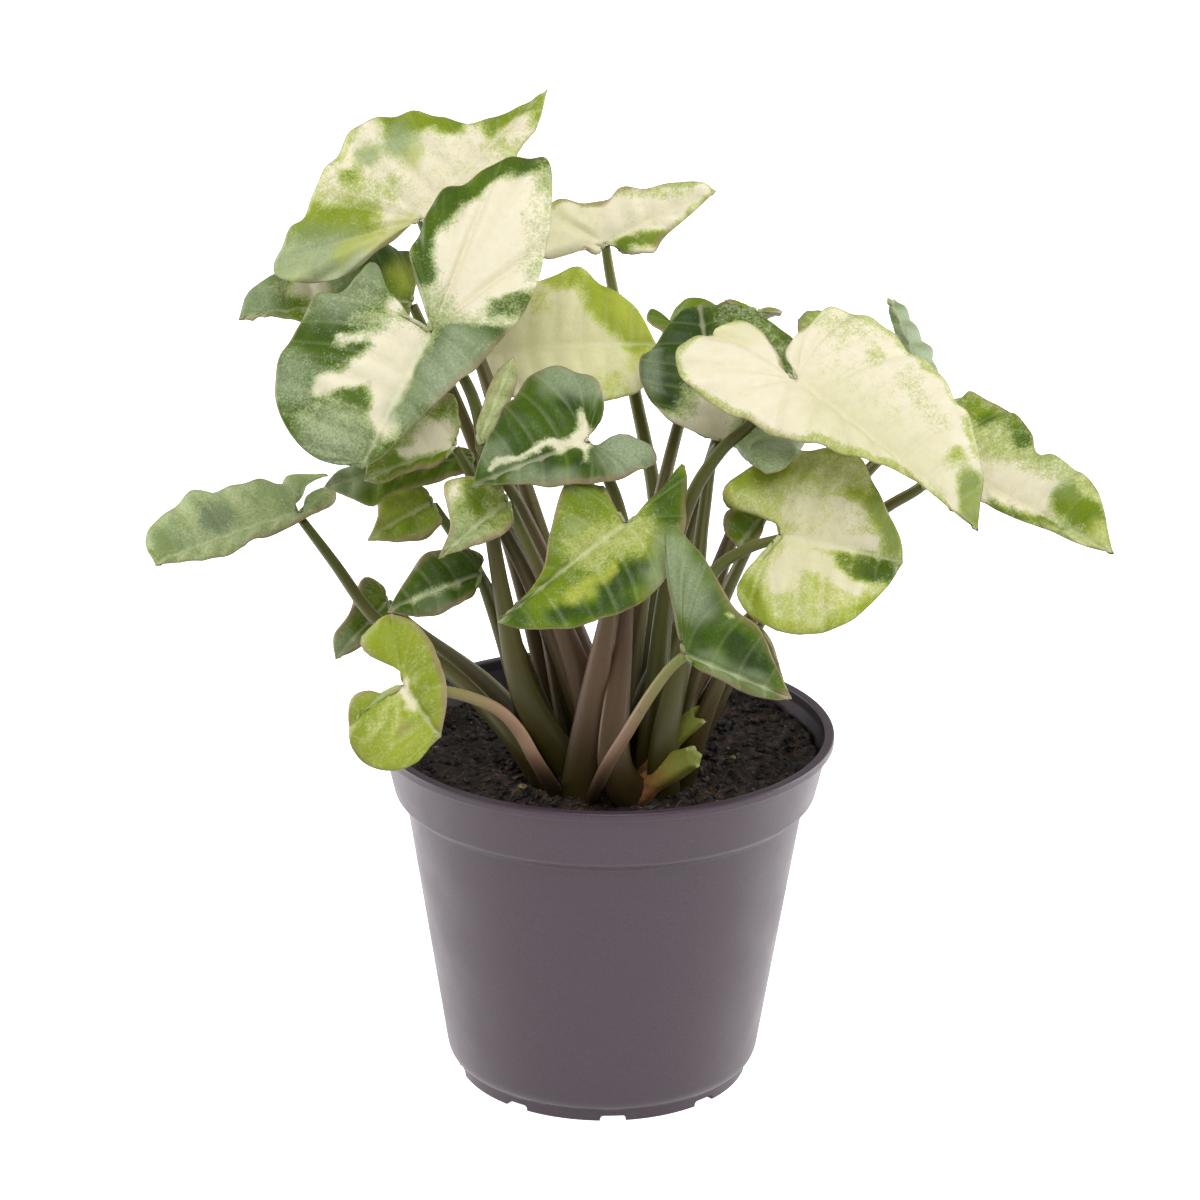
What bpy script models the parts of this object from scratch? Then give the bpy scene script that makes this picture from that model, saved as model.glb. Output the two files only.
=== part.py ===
"""An arrowhead plant (Syngonium) growing in its round plastic nursery pot.

The origin is on the pot's axis at the ground, +Z is up and the plant's front faces -Y.
Lengths are written in millimetres and turned to metres where the meshes are made.
"""
import math

import bmesh
import bpy
from mathutils import Matrix, Vector

MM = 0.001

# Pieces that touch in the real plant stand this far apart.
TOUCHING_GAP = 0.3

# The pot: a tapered cup with a wider collar and a lip round its rim.
POT_HEIGHT = 95.5
RIM_RADIUS = 60.0
LIP_DEPTH = 2.2
LIP_WIDTH = 2.6
LIP_ROUNDING = 0.6
LIP_INNER_ROUNDING = 0.3
LIP_UNDERCUT = 0.8
COLLAR_TOP_RADIUS = 58.4
COLLAR_LOW_RADIUS = 55.4
COLLAR_LOW_HEIGHT = 79.5
WALL_TOP_RADIUS = 52.4
WALL_TOP_HEIGHT = 77.0
WALL_LOW_RADIUS = 41.2
WALL_LOW_HEIGHT = 5.0
WALL_THICKNESS = 1.3
INNER_STEP_RISE = 0.6
INNER_CORNER = 0.8
FLOOR_UNDERSIDE = 2.4
FLOOR_THICKNESS = 1.4
FLOOR_TOP = FLOOR_UNDERSIDE + FLOOR_THICKNESS
POT_STEPS = 54
SCREW_MERGE = 0.00005

# It stands on a ring that nine gaps part into feet, and six drain holes pierce its floor.
FOOT_RADIUS = 39.6
FOOT_WIDTH = 3.6
FOOT_STEP = 1.0
FOOT_GAPS = 9
FOOT_GAP_WIDTH = 6.8
FOOT_GAP_HEIGHT = 1.5
FIRST_GAP_ANGLE = -82.0
DRAIN_HOLES = 6
DRAIN_HOLE_RADIUS = 4.0
DRAIN_HOLE_SIDES = 14
DRAIN_RING_RADIUS = 27.0

# The potting soil fills the pot to this height and falls away a little at its edge.
SOIL_TOP = 86.5
SOIL_EDGE_WIDTH = 6.0
SOIL_EDGE_DROP = 1.5
SOIL_SIDE_GAP = 2 * TOUCHING_GAP

# The leaf stalks rise from three rings round the middle of the clump.
CLUMP_CENTRE = (2.0, -12.0)
RING_RADIUS = {"outer": 19.0, "middle": 11.4, "inner": 4.6}
STALK_LOW_RADIUS = 2.7
STALK_TOP_RADIUS = 1.4
STALK_POINTS = 8
STALK_BOW = 0.12
STALK_COLLAR = 2.5

# A cut stump of an old stalk leans out of the clump on its right.
STUMP_FOOT = (24.5, -18.0, 88.6)
STUMP_TOP = (29.5, -19.5, 97.5)
STUMP_RADII = (3.2, 2.2)

# Leaf blades. Their crown and the slant of their side veins are shares of a length.
BLADE_THICKNESS = 0.8
VEIN_SPACING = 7.0
MOST_ROWS = 5
MOST_LOBE_SECTORS = 4
BLADE_COLUMNS = 2
BLADE_CROWN = 0.07
VEIN_SLANT = 0.15

# A smooth curve is read between its points in this many steps, a leaf's margin in so many points.
CURVE_STEPS = 12
MARGIN_POINTS = 60

# The leaves are set out as the plant is seen from its front, a little from above. A point is
# millimetres right and up of the middle of that view, and millimetres nearer to the eye.
VIEW_CENTRE = Vector((-1.8, 0.0, 130.8))
VIEW_DISTANCE = 1100.0
VIEW_PITCH = math.radians(19.6)
VIEW_RIGHT = Vector((1.0, 0.0, 0.0))
VIEW_UP = Vector((0.0, math.sin(VIEW_PITCH), math.cos(VIEW_PITCH)))
VIEW_TOWARD = Vector((0.0, -math.cos(VIEW_PITCH), math.sin(VIEW_PITCH)))

# Plain colours, as linear light, and roughnesses.
POT_GREY = (0.11, 0.09, 0.10)
POT_ROUGHNESS = 0.45
SOIL_BROWN = (0.02, 0.012, 0.008)
SOIL_ROUGHNESS = 0.95
LEAF_GREEN = (0.16, 0.24, 0.05)
LEAF_CREAM = (0.72, 0.68, 0.42)
LEAF_ROUGHNESS = 0.45
CREAM_LEAVES = ("crown_left", "back_top", "mid_cream", "big_cream", "heart_right", "far_right")
STALK_BROWN = (0.24, 0.17, 0.10)
STALK_ROUGHNESS = 0.5
STUMP_OLIVE = (0.35, 0.22, 0.05)
STUMP_ROUGHNESS = 0.6

# Each leaf: where its stalk joins, its tip, how near the joint is, how much nearer it gets for
# each millimetre to the right (turn) and up (lean), and how far its margins rise above its
# midrib (fold). Both sides of the outline run from the joint round the lobe to the tip. A third
# number in a point moves it nearer by that much. stalk names the ring and the angle of its foot,
# and route the points that a stalk seen in the open passes.
LEAVES = {
    "crown_left": {
        "joint": (-47.5, 98.5), "tip": (-15, 132.5), "near": 2, "turn": 0.1, "lean": -0.45, "fold": 4,
        "upper": [(-56, 92.5), (-71, 83), (-82.5, 83), (-86, 87), (-79, 99.5), (-68.5, 117),
                  (-58.5, 124.5), (-43.5, 125), (-33.5, 122.5), (-21.5, 128)],
        "lower": [(-43.5, 94), (-34.5, 93), (-27, 101), (-22.5, 115), (-17.5, 122)],
        "stalk": ("inner", 100),
    },
    "front_butterfly": {
        "joint": (-44.5, 69), "tip": (-62, 33.5), "near": 36, "turn": 0, "lean": -0.3, "fold": 4,
        "upper": [(-50.5, 73), (-55.5, 80), (-60.5, 87), (-67, 80.5), (-75, 77), (-81, 66.5),
                  (-85, 56.5), (-83, 46), (-75.5, 37)],
        "lower": [(-46.5, 76), (-49.5, 86.5), (-48, 96), (-42.5, 105), (-32.5, 111), (-21.5, 116),
                  (-14, 112.5), (-14, 97), (-18.5, 79), (-29, 64), (-44.5, 49), (-56, 37)],
        "stalk": ("middle", 230),
        "route": [(-18.5, -26, 12), (-25, -0.5, 18), (-29.5, 25.5, 25), (-32, 47, 29), (-37, 59, 30)],
    },
    "behind_left": {
        "joint": (-49.5, 77), "tip": (-94.5, 72), "near": -8, "turn": 0.1, "lean": -1.1, "fold": 2,
        "upper": [(-47.5, 86.5), (-53, 91), (-60.5, 91.5), (-71, 86.5), (-85, 83.5), (-91.5, 78.5)],
        "lower": [(-52, 71), (-63, 68.5), (-76, 70), (-87, 72.5)],
        "stalk": ("outer", 122),
    },
    "back_top": {
        "joint": (0.5, 92.5), "tip": (29, 106.5), "near": -30, "turn": 0, "lean": -0.4, "fold": 3,
        "upper": [(-2, 89.5), (-7.5, 92), (-15, 89), (-19, 94), (-15.5, 101), (-9, 104),
                  (0.5, 103.5), (4.5, 106.5), (14.5, 107.5), (25, 108.5)],
        "lower": [(5, 91), (12.5, 90), (15.5, 94), (22.5, 100)],
        "stalk": ("outer", 98),
        "route": [(8, -26, -16), (14.5, 0, -19), (14, 26, -22), (8.5, 53.5, -27), (2.5, 80.5, -32)],
    },
    "mid_cream": {
        "joint": (-32.5, 63.5), "tip": (14, 66.5), "near": -10, "turn": 0, "lean": -0.55, "fold": 3,
        "upper": [(-35.5, 68.5), (-34.5, 76), (-27, 81.5), (-16.5, 83), (-8, 85.5), (0.5, 81.5),
                  (8.5, 75.5)],
        "lower": [(-31.5, 58), (-26.5, 53), (-13.5, 50.5), (-0.5, 51), (9.5, 54), (13, 60.5)],
        "stalk": ("middle", 140),
    },
    "centre_dark": {
        "joint": (-4, 41), "tip": (-33.5, 29), "near": 42, "turn": 0, "lean": -0.5, "fold": 3,
        "upper": [(-1, 46.5), (0.5, 52.5), (-4.5, 59.5), (-12, 60.5), (-19.5, 57), (-25.5, 48.5),
                  (-30.5, 39.5)],
        "lower": [(0, 40), (6.5, 43), (12.5, 41.5), (14.5, 37), (10, 34), (-4.5, 29.5),
                  (-21, 29.5)],
        "stalk": ("outer", -70),
        "route": [(4, -41.5, 26), (6, -10.5, 28), (7, 10.5, 32), (4.5, 24.5, 35), (0, 35, 38)],
    },
    "curled_small": {
        "joint": (-38, 39.5), "tip": (-61.5, 30.5), "near": 24, "turn": 0, "lean": -0.4, "fold": 2,
        "upper": [(-37, 45), (-39, 52.5), (-46, 50), (-53.5, 48), (-59, 44)],
        "lower": [(-42, 34.5), (-49.5, 32.5), (-57, 29.5)],
        "stalk": ("inner", 265),
    },
    "left_band": {
        "joint": (-33, 37), "tip": (-72, 28.5), "near": 12, "turn": 0.1, "lean": -0.8, "fold": 2,
        "upper": [(-36, 39.5), (-44.5, 37), (-57.5, 35.5), (-66.5, 33.5)],
        "lower": [(-34.5, 32.5), (-44, 29.5), (-53.5, 26.5), (-59.5, 23.5), (-66.5, 26)],
        "stalk": ("inner", 185),
    },
    "far_left": {
        "joint": (-78.5, 22), "tip": (-115.5, 8), "near": -28, "turn": 0.2, "lean": -1.1, "fold": 2,
        "upper": [(-79.5, 25), (-76, 29.5), (-70.5, 33), (-78.5, 31.5), (-90.5, 28.5),
                  (-102.5, 27), (-113, 21.5), (-118, 14)],
        "lower": [(-76.5, 24.5), (-71, 29.5), (-69, 26), (-75.5, 21), (-83, 16.5), (-90.5, 13),
                  (-101.5, 9)],
        "stalk": ("outer", 200),
        "route": [(-19.5, -39.5, 8), (-28, -29, 3), (-38.5, -19, -3), (-49, -12, -9),
                  (-59, -4.5, -15), (-69, 9, -22)],
    },
    "left_twist": {
        "joint": (-55, -1), "tip": (-68.5, -16), "near": -32, "turn": 0, "lean": -0.3, "fold": 2,
        "upper": [(-56, 3), (-61, 5), (-63.5, 1.5), (-65, -4.5), (-69, -10)],
        "lower": [(-54, -5.5), (-58, -9.5), (-63.5, -14)],
        "stalk": ("outer", 146),
        "route": [(-30, -22, -20), (-48, -8, -36)],
    },
    "left_dark": {
        "joint": (-31, 6.5), "tip": (-55, -3.5), "near": 14, "turn": 0, "lean": -0.6, "fold": 3,
        "upper": [(-30.5, 11), (-35.5, 14), (-41.5, 13), (-48, 8.5), (-52.5, 1.5)],
        "lower": [(-32, 1.5), (-37, -2), (-44, -5), (-51, -4.5)],
        "stalk": ("outer", 176),
    },
    "low_left": {
        "joint": (-51, -22.5), "tip": (-41, -36), "near": 56, "turn": 0.15, "lean": -0.2, "fold": 3,
        "upper": [(-52.5, -18), (-60, -15), (-62, -10.5), (-59.5, -6.5), (-54.5, -4.5),
                  (-48.5, -6), (-44, -11), (-40.5, -18.5), (-39.5, -27.5)],
        "lower": [(-53.5, -25), (-60.5, -24), (-64.5, -26.5), (-64.5, -35.5), (-61.5, -42.5),
                  (-54, -45), (-47, -42.5)],
        "stalk": ("outer", 224),
        "route": [(-16, -41.5, 34), (-20.5, -34, 40), (-25.5, -29, 45), (-32, -26, 49), (-40, -24, 52)],
    },
    "centre_low": {
        "joint": (6.5, 20), "tip": (-26.5, -6), "near": 47, "turn": 0, "lean": -0.35, "fold": 4,
        "upper": [(4, 24), (1, 29.5), (-4.5, 31), (-10, 28.5), (-13, 18), (-14.5, 8.5),
                  (-19.5, 0.5)],
        "lower": [(10, 23), (15.5, 29), (21.5, 36.5), (22, 22.5), (19.5, 10.5), (14, 2), (4.5, -4),
                  (-7.5, -7.5), (-20, -8)],
        "stalk": ("outer", -118),
    },
    "droop_dark": {
        "joint": (22, -14), "tip": (50, -25), "near": 62, "turn": 0.1, "lean": -0.15, "fold": 3,
        "upper": [(20, -5.5), (17.5, 5.5), (16, 15.5), (19, 19.5), (26, 12.5), (35, -1.5),
                  (41.5, -7), (46, -16.5)],
        "lower": [(25, -17.5), (31.5, -20.5), (38.5, -24), (45.5, -25.5)],
        "stalk": ("outer", -94),
        "route": [(0.5, -45.5, 38), (7, -35, 46), (13, -24.5, 54), (18, -18, 58)],
    },
    "big_cream": {
        "joint": (50, 58), "tip": (98, 19), "near": 42, "turn": 0, "lean": -0.6, "fold": 4,
        "upper": [(48.5, 63), (48, 68), (52.5, 73), (61, 76), (69.5, 74), (79.5, 65.5), (88.5, 57),
                  (95, 47), (99, 33.5)],
        "lower": [(47, 60.5), (44, 67.5), (38.5, 73), (30.5, 73), (22, 68.5), (19, 64), (22, 57.5),
                  (33, 49), (47.5, 42), (63, 38), (79.5, 32), (90, 24.5)],
        "stalk": ("middle", 320),
        "route": [(14.5, -26, 14), (17.5, 5.5, 20), (23, 26, 28), (30.5, 38.5, 32), (38.5, 46, 34)],
    },
    "behind_cream": {
        "joint": (30.5, 41.5), "tip": (25, 77), "near": 14, "turn": 0, "lean": -0.5, "fold": 3,
        "upper": [(25, 43), (15.5, 48.5), (10.5, 55), (10, 62), (15, 68), (18, 72.5), (21, 76)],
        "lower": [(34.5, 40), (39.5, 36, 26), (44.5, 35.5, 30), (49.5, 38, 24), (53, 43.5, 8),
                  (53, 55), (49.5, 66.5), (42, 73.5), (33, 76)],
        "stalk": ("middle", 50),
        "route": [(13, -26, 2), (23.5, 0, 4), (26.5, 21, 6), (28.5, 36.5, 8)],
    },
    "back_arch": {
        "joint": (25, 66.5), "tip": (17, 70.5, -30), "near": -18, "turn": 0, "lean": 0, "fold": 1,
        "upper": [(18, 67.5, -5), (12, 72.5, -14), (12.5, 74, -22)],
        "lower": [(31.5, 70.5, -5), (33, 75, -12), (28, 77.5, -20), (21, 78, -26)],
        "stalk": ("middle", 95),
    },
    "back_green": {
        "joint": (40, 75.5), "tip": (36, 70.5, -29), "near": -20, "turn": 0, "lean": 0, "fold": 1,
        "upper": [(35, 75.5, -4), (31.5, 77, -12), (31, 75, -22)],
        "lower": [(44, 75, -3), (46.5, 74.5, -11), (45, 73.5, -19), (41, 72.5, -25)],
        "stalk": ("outer", 74),
        "route": [(14, -20, -26), (22, 14, -30)],
    },
    "back_right": {
        "joint": (54.5, 65), "tip": (64, 68.5, -30), "near": -14, "turn": 0, "lean": 0, "fold": 1,
        "upper": [(51, 68.5, -4), (50.5, 73, -12), (54, 75, -21), (60, 73, -27)],
        "lower": [(60.5, 64, -3), (67.5, 65.5, -12), (69, 67.5, -22)],
        "stalk": ("outer", 50),
    },
    "back_narrow": {
        "joint": (85.5, 50.5), "tip": (74, 79, -4), "near": -10, "turn": 0, "lean": 0, "fold": 1,
        "upper": [(80.5, 58.5, -4), (75.5, 69, -8), (74, 74.5, -8)],
        "lower": [(89, 53.5, -10), (85.5, 61, -20), (82.5, 66, -24), (79.5, 71.5, -20),
                  (76.5, 78, -12)],
        "stalk": ("outer", 26),
    },
    "far_right": {
        "joint": (87.5, 36.5), "tip": (133, 13.5), "near": 26, "turn": 0.7, "lean": -0.6, "fold": 3,
        "upper": [(86, 42.5), (87, 51.5), (93, 55), (104, 51), (111.5, 45), (114, 38.5), (122, 36),
                  (129.5, 29)],
        "lower": [(90, 30), (98, 26.5), (107, 22), (117, 18.5), (125.5, 15)],
        "stalk": ("outer", 2),
        "route": [(23.5, -23, -4), (41.5, -2, 0), (62, 15, 6), (73.5, 24.5, 12), (82.5, 30, 15)],
    },
    "heart_right": {
        "joint": (46.5, 17), "tip": (78.5, 10.5), "near": 36, "turn": 0, "lean": -0.3, "fold": 4,
        "upper": [(45, 21.5), (39, 23), (33, 24), (32, 28.5), (36.5, 34.5), (47, 39), (58, 40),
                  (67.5, 37), (72, 28), (77.5, 17.5)],
        "lower": [(42.5, 12.5), (37.5, 5.5), (36, 0.5), (43, -6.5), (54, -8.5), (64.5, -5.5),
                  (74.5, 4)],
        "stalk": ("outer", -46),
        "route": [(17, -36, 20), (23.5, -7.5, 24), (29, 7, 28), (37.5, 13.5, 33)],
    },
    "left_mid_pale": {
        "joint": (-24, 25.5), "tip": (-42, 10.5), "near": 34, "turn": 0, "lean": -0.4, "fold": 2,
        "upper": [(-26.5, 30.5), (-33.5, 32), (-40.5, 29.5), (-40, 23), (-39, 18)],
        "lower": [(-22.5, 20.5), (-26, 16), (-35, 12.5)],
        "stalk": ("middle", 275),
    },
    "left_back_yellow": {
        "joint": (-43.5, 25), "tip": (-60.5, 15), "near": 4, "turn": 0, "lean": -0.5, "fold": 2,
        "upper": [(-45.5, 28.5), (-52.5, 29), (-58.5, 27.5), (-58, 21.5)],
        "lower": [(-41.5, 20), (-45, 15.5), (-52, 14)],
        "stalk": ("middle", 185),
    },
    "young_roll": {
        "joint": (-32, 40), "tip": (-23, 63), "near": 35, "turn": 0, "lean": -0.1, "fold": 1,
        "upper": [(-32.5, 45.5), (-30.5, 52.5), (-27, 59.5)],
        "lower": [(-29, 41.5), (-25, 48.5), (-22, 56.5)],
        "stalk": ("inner", 345),
        "route": [(-6, -8, 12), (-21, 24, 21), (-28, 34, 30)],
    },
    "right_low_back": {
        "joint": (36, -10), "tip": (48, -20.5), "near": 26, "turn": 0, "lean": -0.2, "fold": 1,
        "upper": [(36.5, -7), (40.5, -6), (44.5, -9.5), (46.5, -15.5)],
        "lower": [(38, -15), (42, -20)],
        "stalk": ("outer", -22),
    },
    "right_fold": {
        "joint": (42.5, 23), "tip": (35.5, 14), "near": 22, "turn": 0, "lean": -0.2, "fold": 1,
        "upper": [(38, 25), (32.5, 23), (32, 18)],
        "lower": [(42, 18), (39.5, 14.5)],
        "stalk": ("middle", 5),
    },
}


def clear_scene():
    """Empty the scene without closing the file that this script runs from."""
    for item in list(bpy.data.objects):
        bpy.data.objects.remove(item, do_unlink=True)
    for group in list(bpy.data.collections):
        bpy.data.collections.remove(group)


def new_collection(name):
    group = bpy.data.collections.new(name)
    bpy.context.scene.collection.children.link(group)
    return group


def plain_material(name, colour, roughness):
    material = bpy.data.materials.new(name)
    material.use_nodes = True
    shader = material.node_tree.nodes["Principled BSDF"]
    shader.inputs["Base Color"].default_value = (*colour, 1.0)
    shader.inputs["Roughness"].default_value = roughness
    shader.inputs["Metallic"].default_value = 0.0
    return material


def mesh_object(name, mesh, group, material=None):
    item = bpy.data.objects.new(name, mesh)
    group.objects.link(item)
    if material:
        mesh.materials.append(material)
    return item


def from_view(right, up, near):
    """Turn a point of the front view into millimetres in the plant's own frame."""
    closer = 1.0 - near / VIEW_DISTANCE
    return VIEW_CENTRE + (VIEW_RIGHT * right + VIEW_UP * up) * closer + VIEW_TOWARD * near


def smooth_route(points, count):
    """Read count + 1 points, evenly spaced, from a smooth curve through the given ones."""
    ends = [points[0] * 2 - points[1]] + points + [points[-1] * 2 - points[-2]]
    fine = []
    for i in range(1, len(ends) - 2):
        before, start, stop, after = ends[i - 1:i + 3]
        for k in range(CURVE_STEPS):
            t = k / CURVE_STEPS
            fine.append(0.5 * (2 * start + (stop - before) * t
                               + (2 * before - 5 * start + 4 * stop - after) * t * t
                               + (3 * start - before - 3 * stop + after) * t ** 3))
    fine.append(points[-1].copy())
    lengths = [0.0]
    for a, b in zip(fine, fine[1:]):
        lengths.append(lengths[-1] + (b - a).length)
    result = []
    k = 0
    for i in range(count + 1):
        target = lengths[-1] * i / count
        while k < len(fine) - 2 and lengths[k + 1] < target:
            k += 1
        span = lengths[k + 1] - lengths[k]
        result.append(fine[k].lerp(fine[k + 1], (target - lengths[k]) / span if span else 0.0))
    return result


def leaf_points(leaf):
    """Give a leaf's joint, tip and two outlines as 3-D points."""
    joint_right, joint_up = leaf["joint"]
    tip_right, tip_up = leaf["tip"][:2]
    midrib = math.hypot(tip_right - joint_right, tip_up - joint_up)

    def place(point, on_margin):
        right, up = point[:2]
        extra = point[2] if len(point) > 2 else 0.0
        across = abs((right - joint_right) * (tip_up - joint_up)
                     - (up - joint_up) * (tip_right - joint_right)) / midrib
        rise = leaf["fold"] * min(1.0, across / (0.5 * midrib)) if on_margin else 0.0
        near = (leaf["near"] + leaf["turn"] * (right - joint_right)
                + leaf["lean"] * (up - joint_up) + extra + rise)
        return from_view(right, up, near)

    joint = place(leaf["joint"], False)
    tip = place(leaf["tip"], False)
    sides = [[place(point, True) for point in leaf[side]] for side in ("upper", "lower")]
    return joint, tip, sides


def blade_normal(joint, tip, sides):
    """The leaf's mean facing direction, turned to its upper side."""
    loop = [joint] + sides[0] + [tip] + sides[1][::-1]
    normal = Vector((0.0, 0.0, 0.0))
    for a, b in zip(loop, loop[1:] + loop[:1]):
        normal += (a - joint).cross(b - joint)
    normal.normalize()
    return normal if normal.dot(VIEW_TOWARD + Vector((0.0, 0.0, 1.0))) > 0 else -normal


def count_for(length, least, most):
    """How many stretches a length is cut in: about one for each vein spacing."""
    return min(most, max(least, round(length / VEIN_SPACING)))


def side_veins(margin, joint, tip, rows):
    """Pair each side vein's root, a row of the midrib, with its end, a point of the margin.

    The veins of a lobe all spring from the joint. The others leave the midrib row by row and
    slant forward.
    """
    along = tip - joint
    furthest = 0.0
    reach = []
    for point in margin:
        share = (point - joint).dot(along) / along.length_squared
        furthest = max(furthest, (share - VEIN_SLANT) / (1.0 - VEIN_SLANT))
        reach.append(furthest)
    last_lobe = max(i for i, share in enumerate(reach) if share <= 0.0)
    lobe_edge = last_lobe * (margin[1] - margin[0]).length
    sectors = count_for(lobe_edge, 1, MOST_LOBE_SECTORS)
    veins = [(0, round(last_lobe * k / sectors)) for k in range(1, sectors + 1)]
    for row in range(1, rows):
        veins.append((row, next(i for i, share in enumerate(reach) if share >= row / rows)))
    return veins


def blade_surface(leaf):
    """Loft a blade from its midrib to its two margins, vein by vein, with a slight crown."""
    joint, tip, sides = leaf_points(leaf)
    normal = blade_normal(joint, tip, sides)
    surface = bmesh.new()
    rows = count_for((tip - joint).length, 2, MOST_ROWS)
    midrib = [surface.verts.new(joint.lerp(tip, row / rows)) for row in range(rows + 1)]
    for outline in sides:
        margin = smooth_route([joint] + outline + [tip], MARGIN_POINTS)
        veins = []
        for row, end in side_veins(margin, joint, tip, rows):
            start = midrib[row].co
            reach = margin[end] - start
            vein = [midrib[row]]
            for column in range(1, BLADE_COLUMNS + 1):
                share = column / BLADE_COLUMNS
                crown = normal * (BLADE_CROWN * reach.length * math.sin(math.pi * share))
                vein.append(surface.verts.new(start + reach * share + crown))
            veins.append(vein)
        veins.append([midrib[rows]] * (BLADE_COLUMNS + 1))
        for vein, next_vein in zip(veins, veins[1:]):
            for column in range(BLADE_COLUMNS):
                corners = (vein[column], vein[column + 1], next_vein[column + 1], next_vein[column])
                face = surface.faces.new(list(dict.fromkeys(corners)))
                face.smooth = True
    bmesh.ops.recalc_face_normals(surface, faces=surface.faces)
    surface.normal_update()
    if sum(face.normal.dot(normal) * face.calc_area() for face in surface.faces) < 0:
        bmesh.ops.reverse_faces(surface, faces=surface.faces)
    bmesh.ops.scale(surface, vec=(MM, MM, MM), verts=surface.verts)
    return surface, joint, normal


def build_leaf(name, leaf, group, material):
    surface, joint, normal = blade_surface(leaf)
    mesh = bpy.data.meshes.new(name)
    surface.to_mesh(mesh)
    surface.free()
    blade = mesh_object(name, mesh, group, material)
    shell = blade.modifiers.new("thickness", "SOLIDIFY")
    shell.thickness = BLADE_THICKNESS * MM
    shell.offset = 0.0
    return joint, normal


def stalk_foot(ring, angle):
    """Where a stalk stands on the soil."""
    turn = math.radians(angle)
    reach = RING_RADIUS[ring]
    return Vector((CLUMP_CENTRE[0] + reach * math.cos(turn),
                   CLUMP_CENTRE[1] + reach * math.sin(turn),
                   SOIL_TOP + TOUCHING_GAP))


def stalk_route(leaf, joint, normal):
    """A stalk's centre line, by the points that it is seen to pass or in a low bow.

    It starts with a short upright stretch and ends just under the blade.
    """
    foot = stalk_foot(*leaf["stalk"])
    start = foot + Vector((0.0, 0.0, STALK_COLLAR))
    reach = joint - start
    bow = Vector((0.0, 0.0, STALK_BOW * math.hypot(reach.x, reach.y)))
    passing = [start + reach / 3 + bow, start + reach * 2 / 3 + bow]
    if "route" in leaf:
        passing = [from_view(*point) for point in leaf["route"]]
    slant = (joint - passing[-1]).normalized().dot(normal)
    lip = STALK_TOP_RADIUS * math.sqrt(max(0.0, 1.0 - slant * slant))
    end = joint - normal * (BLADE_THICKNESS / 2 + TOUCHING_GAP + lip)
    return [foot] + smooth_route([start] + passing + [end], STALK_POINTS - 2)


def tube(name, points, radii, group, material):
    """A round stem along points, as a bevelled curve with filled caps."""
    curve = bpy.data.curves.new(name, "CURVE")
    curve.dimensions = "3D"
    curve.bevel_depth = MM
    curve.bevel_resolution = 2
    curve.use_fill_caps = True
    curve.materials.append(material)
    spline = curve.splines.new("POLY")
    spline.points.add(len(points) - 1)
    for knot, point, radius in zip(spline.points, points, radii):
        knot.co = (*(point * MM), 1.0)
        knot.radius = radius
    item = bpy.data.objects.new(name, curve)
    group.objects.link(item)


def build_stalk(name, leaf, joint, normal, group, material):
    points = stalk_route(leaf, joint, normal)
    last = len(points) - 1
    radii = [STALK_LOW_RADIUS + (STALK_TOP_RADIUS - STALK_LOW_RADIUS) * math.sqrt(i / last)
             for i in range(len(points))]
    tube(name, points, radii, group, material)


def turned(name, profile, group, material):
    """Turn a (radius, height) profile, both ends of which are on the pot's axis."""
    mesh = bpy.data.meshes.new(name)
    corners = [(radius * MM, 0.0, height * MM) for radius, height in profile]
    mesh.from_pydata(corners, [(i, i + 1) for i in range(len(corners) - 1)], [])
    item = mesh_object(name, mesh, group, material)
    screw = item.modifiers.new("turn", "SCREW")
    screw.steps = POT_STEPS
    screw.render_steps = POT_STEPS
    screw.use_merge_vertices = True
    screw.merge_threshold = SCREW_MERGE
    screw.use_smooth_shade = True
    return item


def pot_profile():
    """The pot's section: from its floor's middle up the inside, over the lip and down again."""
    lip_low = POT_HEIGHT - LIP_DEPTH
    inside = [
        (0.0, FLOOR_TOP),
        (WALL_LOW_RADIUS - WALL_THICKNESS - INNER_CORNER, FLOOR_TOP),
        (WALL_TOP_RADIUS - WALL_THICKNESS, WALL_TOP_HEIGHT + INNER_STEP_RISE),
        (COLLAR_LOW_RADIUS - WALL_THICKNESS, COLLAR_LOW_HEIGHT + INNER_STEP_RISE),
        (RIM_RADIUS - LIP_WIDTH, lip_low),
    ]
    lip = [
        (RIM_RADIUS - LIP_WIDTH, POT_HEIGHT - LIP_INNER_ROUNDING),
        (RIM_RADIUS - LIP_ROUNDING, POT_HEIGHT),
        (RIM_RADIUS, POT_HEIGHT - LIP_ROUNDING),
        (RIM_RADIUS, lip_low),
    ]
    outside = [
        (COLLAR_TOP_RADIUS, lip_low - LIP_UNDERCUT),
        (COLLAR_LOW_RADIUS, COLLAR_LOW_HEIGHT),
        (WALL_TOP_RADIUS, WALL_TOP_HEIGHT),
        (WALL_LOW_RADIUS, WALL_LOW_HEIGHT),
        (FOOT_RADIUS, WALL_LOW_HEIGHT - FOOT_STEP),
    ]
    foot = [
        (FOOT_RADIUS, 0.0),
        (FOOT_RADIUS - FOOT_WIDTH, 0.0),
        (FOOT_RADIUS - FOOT_WIDTH, FLOOR_UNDERSIDE),
        (0.0, FLOOR_UNDERSIDE),
    ]
    return inside + lip + outside + foot


def round_the_axis(angle, radius, height):
    """A place out from the pot's axis, turned to face outward."""
    return Matrix.Rotation(angle, 4, "Z") @ Matrix.Translation((radius * MM, 0.0, height * MM))


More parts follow.
